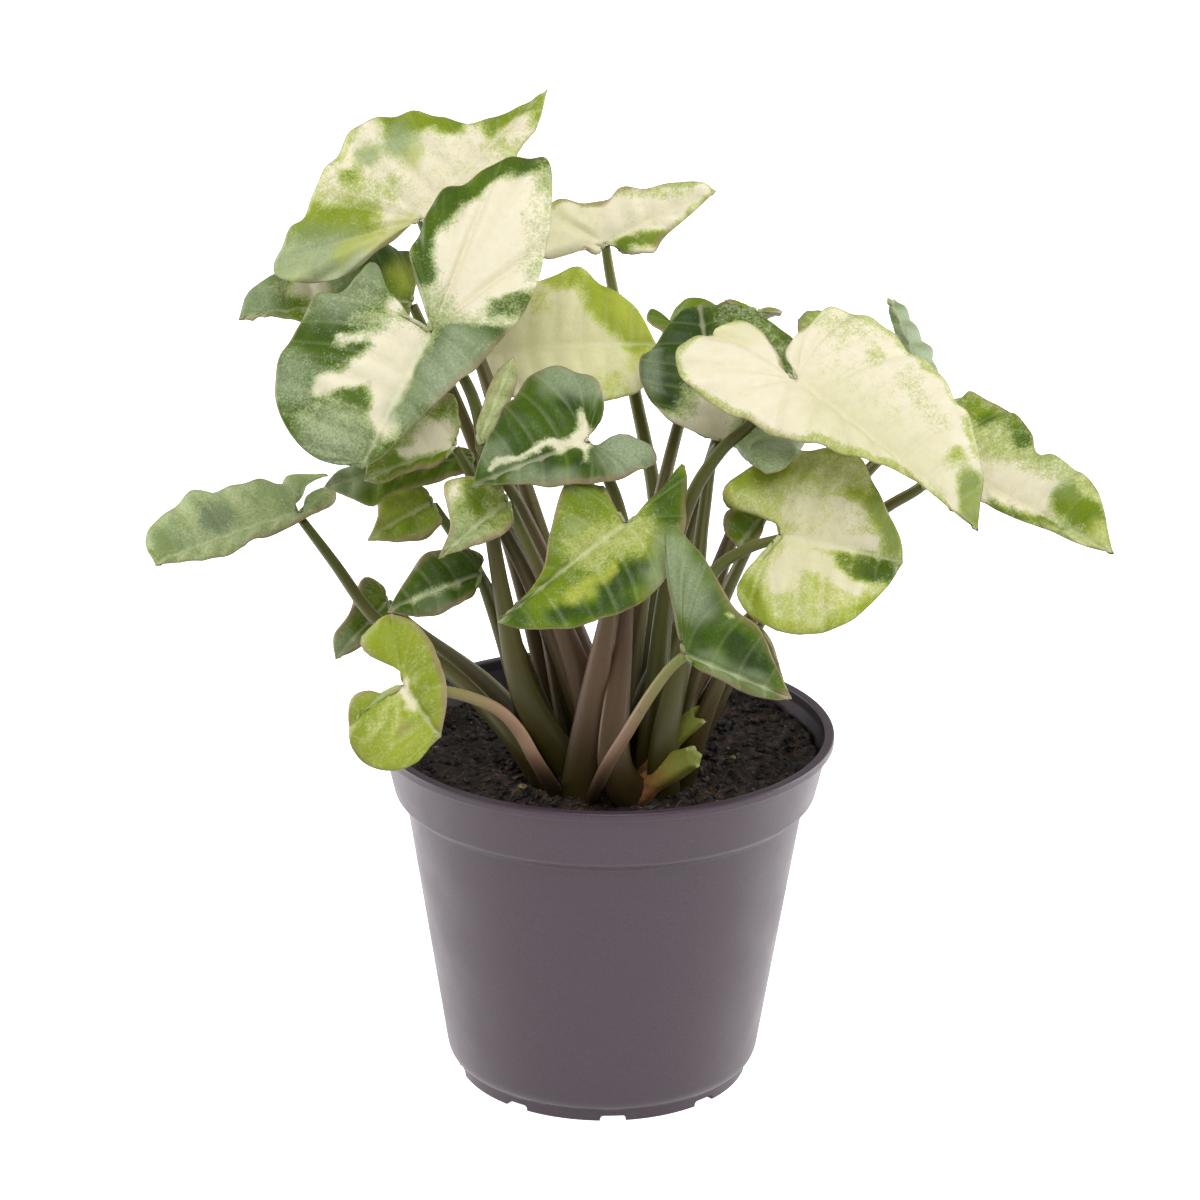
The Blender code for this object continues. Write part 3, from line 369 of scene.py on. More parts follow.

# How each leaf is coloured: its share of cream, the tone of its green (0 yellowish, 1 deep and
# bluish), how wide and how strong its green rim is, and its patches. A patch is a kind, its
# strength, its place right and up in the front view and its radius; two more numbers are its
# other end. A grey patch is painted sheen.
LOOKS = {
    "crown_left": {
        "cream": 0.78, "tone": 0.25, "rim": (1.6, 0.35),
        "patches": [
            ("pale", 0.6, -76, 104, 6), ("green", 0.8, -77, 96, 5, -63, 98),
            ("green", 0.6, -83, 88, 6, -70, 90), ("grey", 0.9, -83, 87, 6, -66, 88),
            ("green", 0.9, -56, 123.5, 3, -38, 123.5), ("green", 0.6, -53, 118, 4),
            ("grey", 0.8, -53, 118, 4), ("green", 0.55, -61.5, 115, 3.5),
            ("grey", 0.8, -61.5, 115, 3.5), ("green", 0.7, -65.5, 108.5, 3),
            ("pale", 0.7, -66, 103.5, 3, -56, 106), ("green", 0.8, -30, 122.5, 2, -16, 130),
            ("pale", 0.8, -27, 117, 3.5), ("green", 0.6, -17, 125, 3),
            ("yellow", 0.6, -50, 113.5, 2.5), ("yellow", 0.8, -68, 88, 2, -50, 98),
        ],
    },
    "front_butterfly": {
        "cream": 0.22, "tone": 0.7, "rim": (1.5, 0.5),
        "patches": [
            ("grey", 0.6, -60, 84, 5, -70, 76), ("dark", 0.5, -77, 69, 4, -66, 71.5),
            ("green", 0.8, -75, 65, 4, -62, 66), ("grey", 0.7, -81, 56, 6),
            ("pale", 0.8, -50, 70, 2.5, -64, 72), ("cream", 1, -52, 64, 6.5),
            ("cream", 1, -52, 63, 3.5, -60, 59), ("cream", 0.9, -60, 59, 2, -73, 54.5),
            ("cream", 1, -52, 62, 4.5, -57, 47), ("cream", 0.7, -52, 66, 1.5, -68, 66.5),
            ("green", 0.7, -65, 52.5, 3), ("pale", 0.5, -70, 45, 7), ("grey", 0.7, -69, 41, 8),
            ("green", 0.9, -46, 57, 3, -50, 50), ("grey", 0.7, -46, 56, 4, -52, 48),
            ("cream", 1, -30, 88, 16), ("cream", 1, -25, 100, 12), ("cream", 0.8, -53, 76, 2.5),
            ("green", 0.9, -46.5, 84, 2.6, -46, 97), ("green", 1, -44, 99, 3.2, -32, 109),
            ("green", 0.95, -31, 110.5, 3, -20, 114), ("green", 0.28, -17, 105, 4, -19, 86),
            ("green", 0.7, -29, 75.5, 2.2, -20, 77), ("green", 1, -37, 65, 4.5, -43, 57),
            ("green", 1, -41, 67.5, 2, -28, 68.5), ("grey", 0.95, -37, 64.5, 6, -43, 56),
        ],
    },
    "behind_left": {
        "cream": 0.15, "tone": 0.6, "rim": (1.5, 0.4),
        "patches": [
            ("cream", 1, -75, 80.6, 4.5), ("dark", 0.6, -58, 89, 6), ("yellow", 0.7, -52, 84, 4),
            ("grey", 0.7, -90, 77, 6), ("pale", 0.5, -83, 80, 3), ("grey", 0.5, -68, 83, 4),
        ],
    },
    "back_top": {
        "cream": 0.85, "tone": 0.35, "rim": (1.2, 0.5),
        "patches": [
            ("green", 0.9, 6, 92, 2.5, 14, 94), ("pale", 0.6, 5, 105, 1.5, 22, 106.5),
            ("yellow", 0.3, -10, 97, 8),
        ],
    },
    "mid_cream": {
        "cream": 0.88, "tone": 0.15, "rim": (1.2, 0.3),
        "patches": [
            ("yellow", 0.5, -14, 68, 16, 2, 60), ("pale", 0.7, -17, 77, 4),
            ("green", 0.8, -13, 84, 3, 0, 82),
            ("green", 0.95, 0, 79, 4.5, 11, 70), ("green", 0.6, 2, 74, 4), ("green", 0.8, 9, 66, 3),
            ("yellow", 0.8, 4, 78, 2.5, 12, 68), ("yellow", 0.9, 8, 61, 3.5), ("pale", 0.8, 2, 56, 4),
        ],
    },
    "centre_dark": {
        "cream": 0.04, "tone": 0.78, "rim": (1, 0.2),
        "patches": [
            ("cream", 1, -4.5, 41.5, 2.6), ("cream", 0.95, -5, 41, 1.2, -16, 38.5),
            ("cream", 0.8, -16, 38.5, 0.9, -29, 34), ("cream", 0.8, -5, 42, 0.9, -7, 49),
            ("cream", 0.8, -4.5, 41, 1, -4, 35.5), ("grey", 0.75, -12, 58, 4, -3, 55),
            ("dark", 0.9, -9, 51, 3), ("grey", 0.95, 7, 39, 6.5), ("grey", 0.5, -27, 37, 4),
            ("dark", 0.9, -14, 35, 2.6), ("dark", 0.9, -5.5, 35, 2.2),
            ("grey", 0.6, -21, 32, 3, -9, 31),
        ],
    },
    "curled_small": {
        "cream": 0.3, "tone": 0.45, "rim": (0.8, 0.3),
        "patches": [
            ("grey", 0.6, -53, 46, 5), ("pale", 0.6, -50, 43, 4), ("cream", 1, -43, 42.5, 4.5),
            ("green", 1, -53, 34, 3.5, -40, 36), ("cream", 0.9, -50, 38.5, 1.2, -40, 39.5),
            ("yellow", 0.4, -59, 38, 2.5, -57, 44),
        ],
    },
    "left_band": {
        "cream": 0.02, "tone": 0.5, "rim": (1, 0.2), "patches": [("grey", 0.75, -67, 31, 6)],
    },
    "far_left": {
        "cream": 0.34, "tone": 0.4, "rim": (1, 0.3),
        "patches": [
            ("grey", 0.6, -95, 22, 30), ("dark", 0.9, -99, 20, 4), ("green", 0.8, -112, 13, 4),
            ("green", 0.6, -86, 27, 4, -76, 27),
        ],
    },
    "left_twist": {
        "cream": 0.15, "tone": 0.5, "rim": (1, 0.2), "patches": [("grey", 0.7, -66, -12, 4)],
    },
    "left_dark": {
        "cream": 0.05, "tone": 0.85, "rim": (1, 0.2),
        "patches": [("pale", 0.9, -36, 4.2, 1.1, -48, -0.5), ("grey", 0.4, -42, -2, 4)],
    },
    "low_left": {
        "cream": 0.22, "tone": 0.12, "rim": (1, 0.2),
        "patches": [
            ("cream", 0.9, -51, -22.5, 1.1, -48.5, -30), ("pale", 0.8, -52, -24, 0.9, -60, -37),
            ("pale", 0.8, -51.5, -24, 0.8, -54, -39), ("green", 0.4, -55, -11, 5),
            ("yellow", 0.3, -55, -40, 5, -45, -32), ("brown", 0.8, -50.4, -33.5, 0.8),
        ],
    },
    "centre_low": {
        "cream": 0.2, "tone": 0.4, "rim": (1, 0.3),
        "patches": [
            ("dark", 0.6, 18, 30, 4, 18, 22), ("green", 0.5, -5, 27, 4),
            ("pale", 0.9, -3, 13, 5, 8, 17),
            ("yellow", 0.4, -3, 14, 6, 8, 17), ("green", 0.7, -6, 19, 2.5), ("grey", 0.5, -6, 19, 2.5),
            ("dark", 0.85, 2, 2, 2.6, 10, 8), ("yellow", 0.9, -7, 0.5, 1.5, 4, 8),
            ("green", 0.9, 15, 12, 4, 12, 1), ("grey", 0.6, 16, 14, 3.2, 15, 5),
            ("dark", 0.8, 8, -1, 2.6, -12, -4.5), ("green", 0.9, 2, -5, 2, -14, -7),
            ("green", 0.75, -13, 8, 2.5, -18, -2), ("dark", 0.6, -22, -5, 4),
        ],
    },
    "droop_dark": {
        "cream": 0.08, "tone": 0.6, "rim": (1, 0.2),
        "patches": [
            ("grey", 0.75, 18, 12, 5, 24, 0), ("dark", 0.7, 28, -2, 4, 27, -10),
            ("dark", 1, 36, -11, 3.5, 42, -17), ("grey", 0.5, 28, -16, 3, 42, -22),
            ("cream", 0.6, 34.5, -4, 0.9), ("pink", 0.7, 49, -24.5, 2.5),
        ],
    },
    "big_cream": {
        "cream": 0.95, "tone": 0.25, "rim": (1.8, 0.5),
        "patches": [
            ("pale", 0.5, 58, 71, 4, 70, 71), ("green", 0.45, 71, 64, 2.6),
            ("pale", 0.5, 80, 58, 3, 88, 46),
            ("green", 0.6, 92, 37, 3), ("green", 0.95, 96, 31, 3, 97, 22),
            ("grey", 0.4, 96, 33, 3, 97, 24),
            ("pale", 0.6, 22, 57, 1.2, 40, 46.5), ("yellow", 0.3, 60, 50, 9, 82, 36),
            ("pale", 0.3, 60, 62, 6, 76, 52), ("pale", 0.4, 52, 72, 2, 66, 74),
            ("yellow", 0.3, 26, 70, 3, 40, 71), ("pale", 0.4, 60, 41, 1.5, 88, 29),
        ],
    },
    "behind_cream": {
        "cream": 0.25, "tone": 0.75, "rim": (1.2, 0.4),
        "patches": [
            ("dark", 0.9, 23, 72, 4.5, 14, 62), ("dark", 0.9, 14, 60, 3.5, 17, 53),
            ("cream", 0.95, 28, 47, 6), ("pale", 0.7, 22, 51, 3), ("grey", 0.9, 46, 39.5, 7),
            ("grey", 0.5, 13, 64, 2.5, 13, 56), ("cream", 0.6, 14, 49, 1.5, 24, 43),
        ],
    },
    "back_arch": {"cream": 0.1, "tone": 0.5, "rim": (1, 0.2), "patches": []},
    "back_green": {"cream": 0.1, "tone": 0.3, "rim": (1, 0.2), "patches": []},
    "back_right": {"cream": 0.3, "tone": 0.4, "rim": (1, 0.2), "patches": []},
    "back_narrow": {
        "cream": 0.1, "tone": 0.6, "rim": (1, 0.2), "patches": [("grey", 0.7, 80, 65, 18)],
    },
    "far_right": {
        "cream": 0.5, "tone": 0.4, "rim": (1, 0.3),
        "patches": [
            ("pale", 0.8, 95, 49, 6, 111, 42), ("green", 0.6, 94, 52, 2.5, 110, 47),
            ("dark", 0.5, 99, 48, 2.5), ("dark", 0.6, 109, 42.5, 3), ("pale", 0.6, 118, 33, 4),
            ("cream", 0.95, 100, 31, 4.5, 114, 29), ("green", 0.9, 121, 27, 3.5, 128, 22),
            ("grey", 0.4, 119, 30, 3), ("yellow", 0.7, 130, 18, 3),
            ("green", 0.6, 102, 25.5, 1.2, 120, 20),
        ],
    },
    "heart_right": {
        "cream": 0.52, "tone": 0.12, "rim": (1.8, 0.45),
        "patches": [
            ("yellow", 0.3, 52, 28, 12, 55, -2), ("cream", 0.5, 53, 24, 5, 64, 21),
            ("green", 0.8, 37, 31, 2.6, 47, 36.5),
            ("green", 0.6, 66, 27.5, 2.4), ("green", 0.9, 71, 26, 2.6, 77, 16),
            ("grey", 0.3, 73, 24, 3, 77, 16),
            ("cream", 1, 50, 12, 3.5, 48, 6), ("cream", 0.9, 51, 15.5, 2, 70, 15.5),
            ("cream", 0.9, 52, 13, 1.8, 66, 3), ("dark", 0.6, 63, 10, 2.4, 69, 7),
            ("dark", 0.75, 69, 8.5, 3.2, 75, 9), ("green", 0.7, 39, 4, 2.2, 42, -4),
            ("green", 0.4, 60, -5, 2, 70, -1),
        ],
    },
    "left_mid_pale": {
        "cream": 0.35, "tone": 0.4, "rim": (1, 0.2),
        "patches": [
            ("cream", 0.6, -38, 27, 2.5), ("green", 0.8, -33, 27, 3), ("grey", 0.5, -36, 16, 6),
        ],
    },
    "left_back_yellow": {
        "cream": 0.2, "tone": 0.25, "rim": (1, 0.2),
        "patches": [("yellow", 0.6, -54, 25, 5), ("green", 0.6, -52, 18, 4)],
    },
    "young_roll": {
        "cream": 0.4, "tone": 0.3, "rim": (0.8, 0.2), "patches": [("grey", 0.5, -28, 52, 14)],
    },
    "right_low_back": {"cream": 0.2, "tone": 0.5, "rim": (1, 0.2), "patches": []},
    "right_fold": {"cream": 0.15, "tone": 0.5, "rim": (1, 0.2), "patches": []},
}
# The share of cream in the middle of a patch. The other kinds are a grey-green painted sheen,
# the waxy skin's reflection of the white surroundings, and yellow, pink and brown stains.
PATCH_CREAM = {"cream": 0.97, "pale": 0.45, "green": 0.06, "dark": 0.0}

# How each stalk is coloured: 0 green to 1 pinkish brown, and 0 dark to 1 pale.
STALK_LOOKS = {
    "crown_left": (0.5, 0.5), "front_butterfly": (0.3, 0.4), "behind_left": (0.6, 0.5),
    "back_top": (0.1, 0.5), "mid_cream": (0.9, 0.5), "centre_dark": (0.8, 0.5),
    "curled_small": (0.6, 0.4), "left_band": (0.5, 0.4), "far_left": (0.25, 0.4),
    "left_twist": (0.4, 0.4), "left_dark": (0.5, 0.3), "low_left": (0.85, 1.0),
    "centre_low": (0.8, 0.6), "droop_dark": (0.85, 0.95), "big_cream": (0.1, 0.4),
    "behind_cream": (0.1, 0.4), "back_arch": (0.5, 0.5), "back_green": (0.5, 0.5),
    "back_right": (0.5, 0.5), "back_narrow": (0.4, 0.5), "far_right": (0.7, 0.6),
    "heart_right": (0.2, 0.6), "left_mid_pale": (0.8, 0.5), "left_back_yellow": (0.5, 0.5),
    "young_roll": (0.8, 0.6), "right_low_back": (0.6, 0.4), "right_fold": (0.3, 0.5),
}
# Two front stalks lean out thin, without a broad sheath.
SLIM_STALKS = ("droop_dark", "low_left")


def linear(hex_colour):
    """Turn an sRGB hex colour into linear values."""
    values = [int(hex_colour[i:i + 2], 16) / 255.0 for i in (1, 3, 5)]
    return tuple(v / 12.92 if v <= 0.04045 else ((v + 0.055) / 1.055) ** 2.4 for v in values) + (1.0,)


def add(tree, kind, inputs=None, stops=None, **settings):
    """Add a node with its settings, the values or links of its inputs, and a ramp's stops."""
    item = tree.nodes.new(kind)
    for name, value in settings.items():
        setattr(item, name, value)
    for socket, value in (inputs or {}).items():
        if isinstance(value, bpy.types.NodeSocket):
            tree.links.new(value, item.inputs[socket])
        else:
            item.inputs[socket].default_value = value
    if stops:
        ramp = item.color_ramp
        while len(ramp.elements) < len(stops):
            ramp.elements.new(0.5)
        for element, (position, colour) in zip(ramp.elements, stops):
            element.position = position
            element.color = linear(colour)
    return item


# The colour sockets of a Mix node, which shares their names with other kinds.
COLOUR_A = 6
COLOUR_B = 7
MIXED_COLOUR = 2


def size_mm(millimetres):
    """The scale of a texture whose features are so many millimetres apart."""
    return 1.0 / (millimetres * MM)


def new_material(name):
    """An empty material with its node tree, its output and its shader."""
    material = bpy.data.materials.new(name)
    material.use_nodes = True
    tree = material.node_tree
    tree.nodes.clear()
    output = add(tree, "ShaderNodeOutputMaterial")
    shader = add(tree, "ShaderNodeBsdfPrincipled")
    tree.links.new(shader.outputs["BSDF"], output.inputs["Surface"])
    return material, tree, shader


def leaf_material(name, underside):
    """Living variegated leaf: a waxy cuticle over cells with and without chlorophyll.

    The eye sees a satin skin. Cream and green meet in a spray of tiny dots, and the green drifts
    from yellowish to deep. Where the waxy skin reflects the white surroundings, a grey-green
    sheen is painted into the colour. The margin is a thin tan line, the veins are fine pale lines,
    and a faint net of smaller veins lies between them, 2.2 mm wide. Cells of 0.1 mm are too fine
    to show, so the dots are drawn 0.6 mm apart, gathered in blotches of 2.4 mm.
    """
    material, tree, shader = new_material(name)
    place = add(tree, "ShaderNodeTexCoord").outputs["Object"]
    share = {}
    for attribute in ("cream", "tone", "grey", "yellow", "blush", "vein", "edge", "midrib"):
        share[attribute] = add(tree, "ShaderNodeAttribute", attribute_name=attribute).outputs["Fac"]
    blotch = add(tree, "ShaderNodeTexNoise", {"Vector": place, "Scale": size_mm(2.4), "Detail": 3.0,
                                              "Roughness": 0.6})
    dots = add(tree, "ShaderNodeTexNoise", {"Vector": place, "Scale": size_mm(0.6), "Detail": 2.0,
                                            "Roughness": 0.7})

    def scattered(value, by_blotches, by_dots):
        """Scatter a value. Noise is one half on average, so half of what it adds comes off."""
        drift = add(tree, "ShaderNodeMath", {0: blotch.outputs["Fac"], 1: by_blotches, 2: value},
                    operation="MULTIPLY_ADD")
        spray = add(tree, "ShaderNodeMath", {0: dots.outputs["Fac"], 1: by_dots, 2: drift.outputs[0]},
                    operation="MULTIPLY_ADD")
        return add(tree, "ShaderNodeMath", {0: spray.outputs[0], 1: (by_blotches + by_dots) / 2},
                   operation="SUBTRACT").outputs[0]

    creamy = scattered(share["cream"], 0.45, 0.6)
    pale = add(tree, "ShaderNodeMapRange", {"Value": creamy, "From Min": 0.12, "From Max": 0.50},
               interpolation_type="SMOOTHSTEP")
    white = add(tree, "ShaderNodeMapRange", {"Value": creamy, "From Min": 0.40, "From Max": 0.82},
                interpolation_type="SMOOTHSTEP")
    green = add(tree, "ShaderNodeValToRGB", {"Fac": scattered(share["tone"], 0.5, 0.45)},
                stops=[(0.0, "#919e20"), (0.35, "#687f08"), (0.7, "#466006"), (1.0, "#2d4214")])
    light = add(tree, "ShaderNodeMix", {0: share["tone"], COLOUR_A: linear("#b9c165"),
                                        COLOUR_B: linear("#a3b083")}, data_type="RGBA")
    cream = add(tree, "ShaderNodeMix", {0: blotch.outputs["Fac"], COLOUR_A: linear("#dfd7b0"),
                                        COLOUR_B: linear("#f0e8d4")}, data_type="RGBA")
    uneven = add(tree, "ShaderNodeMapRange", {"Value": dots.outputs["Fac"], "From Min": 0.3,
                                              "From Max": 0.7, "To Min": 0.5, "To Max": 1.0})
    # The grey share is painted sheen: a grey-green reflection of the white surroundings drawn into the
    # colour.
    painted_sheen = add(tree, "ShaderNodeMath", {0: share["grey"], 1: uneven.outputs[0]}, operation="MULTIPLY")
    gold = add(tree, "ShaderNodeMath", {0: share["yellow"], 1: uneven.outputs[0]},
               operation="MULTIPLY")
    line = add(tree, "ShaderNodeMapRange", {"Value": share["vein"], "From Min": 0.1, "From Max": 0.7,
                                            "To Min": 0.09, "To Max": 0.0})
    rib = add(tree, "ShaderNodeMapRange", {"Value": share["midrib"], "From Min": 0.2,
                                           "From Max": 1.0, "To Min": 0.3, "To Max": 0.0})
    rim = add(tree, "ShaderNodeMapRange", {"Value": share["edge"], "From Min": 0.1, "From Max": 0.6,
                                           "To Min": 0.5, "To Max": 0.0})
    layers = [
        (pale.outputs[0], light.outputs[MIXED_COLOUR]), (white.outputs[0], cream.outputs[MIXED_COLOUR]),
        (painted_sheen.outputs[0], linear("#a1ae8d")), (gold.outputs[0], linear("#b4ba4c")),
        (share["blush"], linear("#9a7f68")), (line.outputs[0], linear("#c9cd9c")),
        (rib.outputs[0], linear("#dcdcb8")), (rim.outputs[0], linear("#a08e6c")),
    ]
    if underside:
        layers.append((UNDERSIDE_PALLOR, linear("#a3ad7c")))
    colour = green.outputs["Color"]
    for factor, layer in layers:
        colour = add(tree, "ShaderNodeMix", {0: factor, COLOUR_A: colour, COLOUR_B: layer},
                     data_type="RGBA").outputs[MIXED_COLOUR]
    tree.links.new(colour, shader.inputs["Base Color"])
    gloss = add(tree, "ShaderNodeMapRange", {"Value": blotch.outputs["Fac"], "From Min": 0.3,
                                             "From Max": 0.7, "To Min": 0.36, "To Max": 0.48})
    tree.links.new(gloss.outputs[0], shader.inputs["Roughness"])
    net = add(tree, "ShaderNodeTexVoronoi", {"Vector": place, "Scale": size_mm(2.2)},
              feature="DISTANCE_TO_EDGE")
    mesh_veins = add(tree, "ShaderNodeMapRange", {"Value": net.outputs["Distance"], "From Max": 0.12})
    skin = add(tree, "ShaderNodeBump", {"Height": dots.outputs["Fac"], "Strength": 0.12,
                                        "Distance": 0.15 * MM})
    network = add(tree, "ShaderNodeBump", {"Height": mesh_veins.outputs[0], "Strength": 0.25,
                                           "Distance": 0.12 * MM, "Normal": skin.outputs["Normal"]})
    tree.links.new(network.outputs["Normal"], shader.inputs["Normal"])
    shader.inputs["IOR"].default_value = 1.42
    shader.inputs["Specular IOR Level"].default_value = 0.25
    return material


def stalk_material():
    """Living leaf stalk: a smooth fleshy skin over long strands.

    The eye sees satin, dark olive at the foot, pinkish brown in the middle and green near the
    leaf, with fine streaks along it, a pale line down one side and small brown flecks. The dark
    foot is partly its own colour and partly painted shade, where the clump crowds it and the
    leaves hang over it.
    """
    material, tree, shader = new_material("fleshy_leaf_stalk")
    share = {}
    for attribute in ("blush", "pallor", "along", "height", "streak_x", "streak_y", "groove"):
        share[attribute] = add(tree, "ShaderNodeAttribute", attribute_name=attribute).outputs["Fac"]
    skin_place = add(tree, "ShaderNodeCombineXYZ", {0: share["streak_x"], 1: share["streak_y"],
                                                    2: share["height"]})
    strands = add(tree, "ShaderNodeTexNoise", {"Vector": skin_place.outputs[0], "Scale": 1.0,
                                               "Detail": 3.0, "Roughness": 0.6})
    place = add(tree, "ShaderNodeTexCoord").outputs["Object"]
    fleck = add(tree, "ShaderNodeTexNoise", {"Vector": place, "Scale": size_mm(3.0), "Detail": 4.0,
                                             "Roughness": 0.7})
    green = add(tree, "ShaderNodeMix", {0: share["pallor"], COLOUR_A: linear("#434a0f"),
                                        COLOUR_B: linear("#7c8442")}, data_type="RGBA")
    pink = add(tree, "ShaderNodeMix", {0: share["pallor"], COLOUR_A: linear("#4c3325"),
                                       COLOUR_B: linear("#9a7661")}, data_type="RGBA")
    drift = add(tree, "ShaderNodeMath", {0: strands.outputs["Fac"], 1: 1.3, 2: -0.65},
                operation="MULTIPLY_ADD")
    flush = add(tree, "ShaderNodeMath", {0: share["blush"], 1: drift.outputs[0]}, operation="ADD",
                use_clamp=True)
    colour = add(tree, "ShaderNodeMix", {0: flush.outputs[0], COLOUR_A: green.outputs[MIXED_COLOUR],
                                         COLOUR_B: pink.outputs[MIXED_COLOUR]},
                 data_type="RGBA").outputs[MIXED_COLOUR]
    # Darker towards the foot over its lowest 58 mm: partly the stalk's own dark olive, partly painted
    # shade from the crowded clump and the leaves above.
    foot = add(tree, "ShaderNodeMapRange", {"Value": share["along"], "From Min": 8.0,
                                            "From Max": 58.0, "To Min": 0.94, "To Max": 0.0},
               interpolation_type="SMOOTHSTEP")
    pale_line = add(tree, "ShaderNodeMapRange", {"Value": share["groove"], "From Min": 0.55,
                                                 "From Max": 1.0, "To Max": 0.35})
    spots = add(tree, "ShaderNodeMapRange", {"Value": fleck.outputs["Fac"], "From Min": 0.62,
                                             "From Max": 0.72, "To Max": 0.5})
    for factor, layer in ((foot.outputs[0], "#30280b"), (pale_line.outputs[0], "#b9b483"),
                          (spots.outputs[0], "#5c4526")):
        colour = add(tree, "ShaderNodeMix", {0: factor, COLOUR_A: colour, COLOUR_B: linear(layer)},
                     data_type="RGBA").outputs[MIXED_COLOUR]
    tree.links.new(colour, shader.inputs["Base Color"])
    ridges = add(tree, "ShaderNodeBump", {"Height": strands.outputs["Fac"], "Strength": 0.35,
                                          "Distance": 0.25 * MM})
    tree.links.new(ridges.outputs["Normal"], shader.inputs["Normal"])
    shader.inputs["Roughness"].default_value = 0.42
    shader.inputs["IOR"].default_value = 1.42
    shader.inputs["Specular IOR Level"].default_value = 0.3
    return material


def stump_material():
    """Cut and dried old stalk: corky brown and orange skin, green where it still lives."""
    material, tree, shader = new_material("dried_cut_stalk")
    place = add(tree, "ShaderNodeTexCoord").outputs["Object"]
    share = add(tree, "ShaderNodeAttribute", attribute_name="along").outputs["Fac"]
    fibre = add(tree, "ShaderNodeTexNoise", {"Vector": place, "Scale": size_mm(1.6), "Detail": 5.0,
                                             "Roughness": 0.7})
    drift = add(tree, "ShaderNodeMath", {0: fibre.outputs["Fac"], 1: 0.7, 2: -0.35},
                operation="MULTIPLY_ADD")
    moved = add(tree, "ShaderNodeMath", {0: share, 1: drift.outputs[0]}, operation="ADD")
    skin = add(tree, "ShaderNodeValToRGB", {"Fac": moved.outputs[0]},
               stops=[(0.0, "#33270f"), (0.3, "#8a5a2c"), (0.5, "#96803a"), (0.8, "#7f8430")])
    tree.links.new(skin.outputs["Color"], shader.inputs["Base Color"])
    bark = add(tree, "ShaderNodeBump", {"Height": fibre.outputs["Fac"], "Strength": 0.6,
                                        "Distance": 0.4 * MM})
    tree.links.new(bark.outputs["Normal"], shader.inputs["Normal"])
    shader.inputs["Roughness"].default_value = 0.6
    return material


def soil_material():
    """Moist potting peat: crumbly and nearly black, with browner crumbs and a few pale specks."""
    material, tree, shader = new_material("moist_crumbly_peat")
    place = add(tree, "ShaderNodeTexCoord").outputs["Object"]
    crumb = add(tree, "ShaderNodeTexNoise", {"Vector": place, "Scale": size_mm(2.0), "Detail": 6.0,
                                             "Roughness": 0.75})
    speck = add(tree, "ShaderNodeTexVoronoi", {"Vector": place, "Scale": size_mm(3.2)})
    colour = add(tree, "ShaderNodeValToRGB", {"Fac": crumb.outputs["Fac"]},
                 stops=[(0.36, "#080504"), (0.5, "#1e120c"), (0.6, "#452c1e"), (0.7, "#866448")])
    bright = add(tree, "ShaderNodeMapRange", {"Value": speck.outputs["Distance"], "From Min": 0.07,
                                              "From Max": 0.11, "To Min": 0.7, "To Max": 0.0})
    mixed = add(tree, "ShaderNodeMix", {0: bright.outputs[0], COLOUR_A: colour.outputs["Color"],
                                        COLOUR_B: linear("#8b7660")}, data_type="RGBA")
    tree.links.new(mixed.outputs[MIXED_COLOUR], shader.inputs["Base Color"])
    rough = add(tree, "ShaderNodeMapRange", {"Value": crumb.outputs["Fac"], "From Min": 0.35,
                                             "From Max": 0.65, "To Min": 0.55, "To Max": 0.95})
    tree.links.new(rough.outputs[0], shader.inputs["Roughness"])
    grain = add(tree, "ShaderNodeBump", {"Height": crumb.outputs["Fac"], "Strength": 0.9,
                                         "Distance": 0.6 * MM})
    tree.links.new(grain.outputs["Normal"], shader.inputs["Normal"])
    return material


def crumb_material():
    """Crumbs of peat, bark and root lying on the soil, each with a shade of its own."""
    material, tree, shader = new_material("peat_and_bark_crumbs")
    place = add(tree, "ShaderNodeTexCoord").outputs["Object"]
    own = add(tree, "ShaderNodeAttribute", attribute_name="own_shade").outputs["Fac"]
    colour = add(tree, "ShaderNodeValToRGB", {"Fac": own},
                 stops=[(0.0, "#0f0a08"), (0.55, "#251a14"), (0.8, "#4f3c2c"), (0.94, "#9b8a63")])
    grain = add(tree, "ShaderNodeTexNoise", {"Vector": place, "Scale": size_mm(0.8), "Detail": 4.0,
                                             "Roughness": 0.7})
    dark = add(tree, "ShaderNodeMapRange", {"Value": grain.outputs["Fac"], "From Min": 0.35,
                                            "From Max": 0.65, "To Min": 0.55, "To Max": 0.0})
    mixed = add(tree, "ShaderNodeMix", {0: dark.outputs[0], COLOUR_A: colour.outputs["Color"],
                                        COLOUR_B: linear("#100a07")}, data_type="RGBA")
    tree.links.new(mixed.outputs[MIXED_COLOUR], shader.inputs["Base Color"])
    bump = add(tree, "ShaderNodeBump", {"Height": grain.outputs["Fac"], "Strength": 0.7,
                                        "Distance": 0.3 * MM})
    tree.links.new(bump.outputs["Normal"], shader.inputs["Normal"])
    shader.inputs["Roughness"].default_value = 0.75
    return material


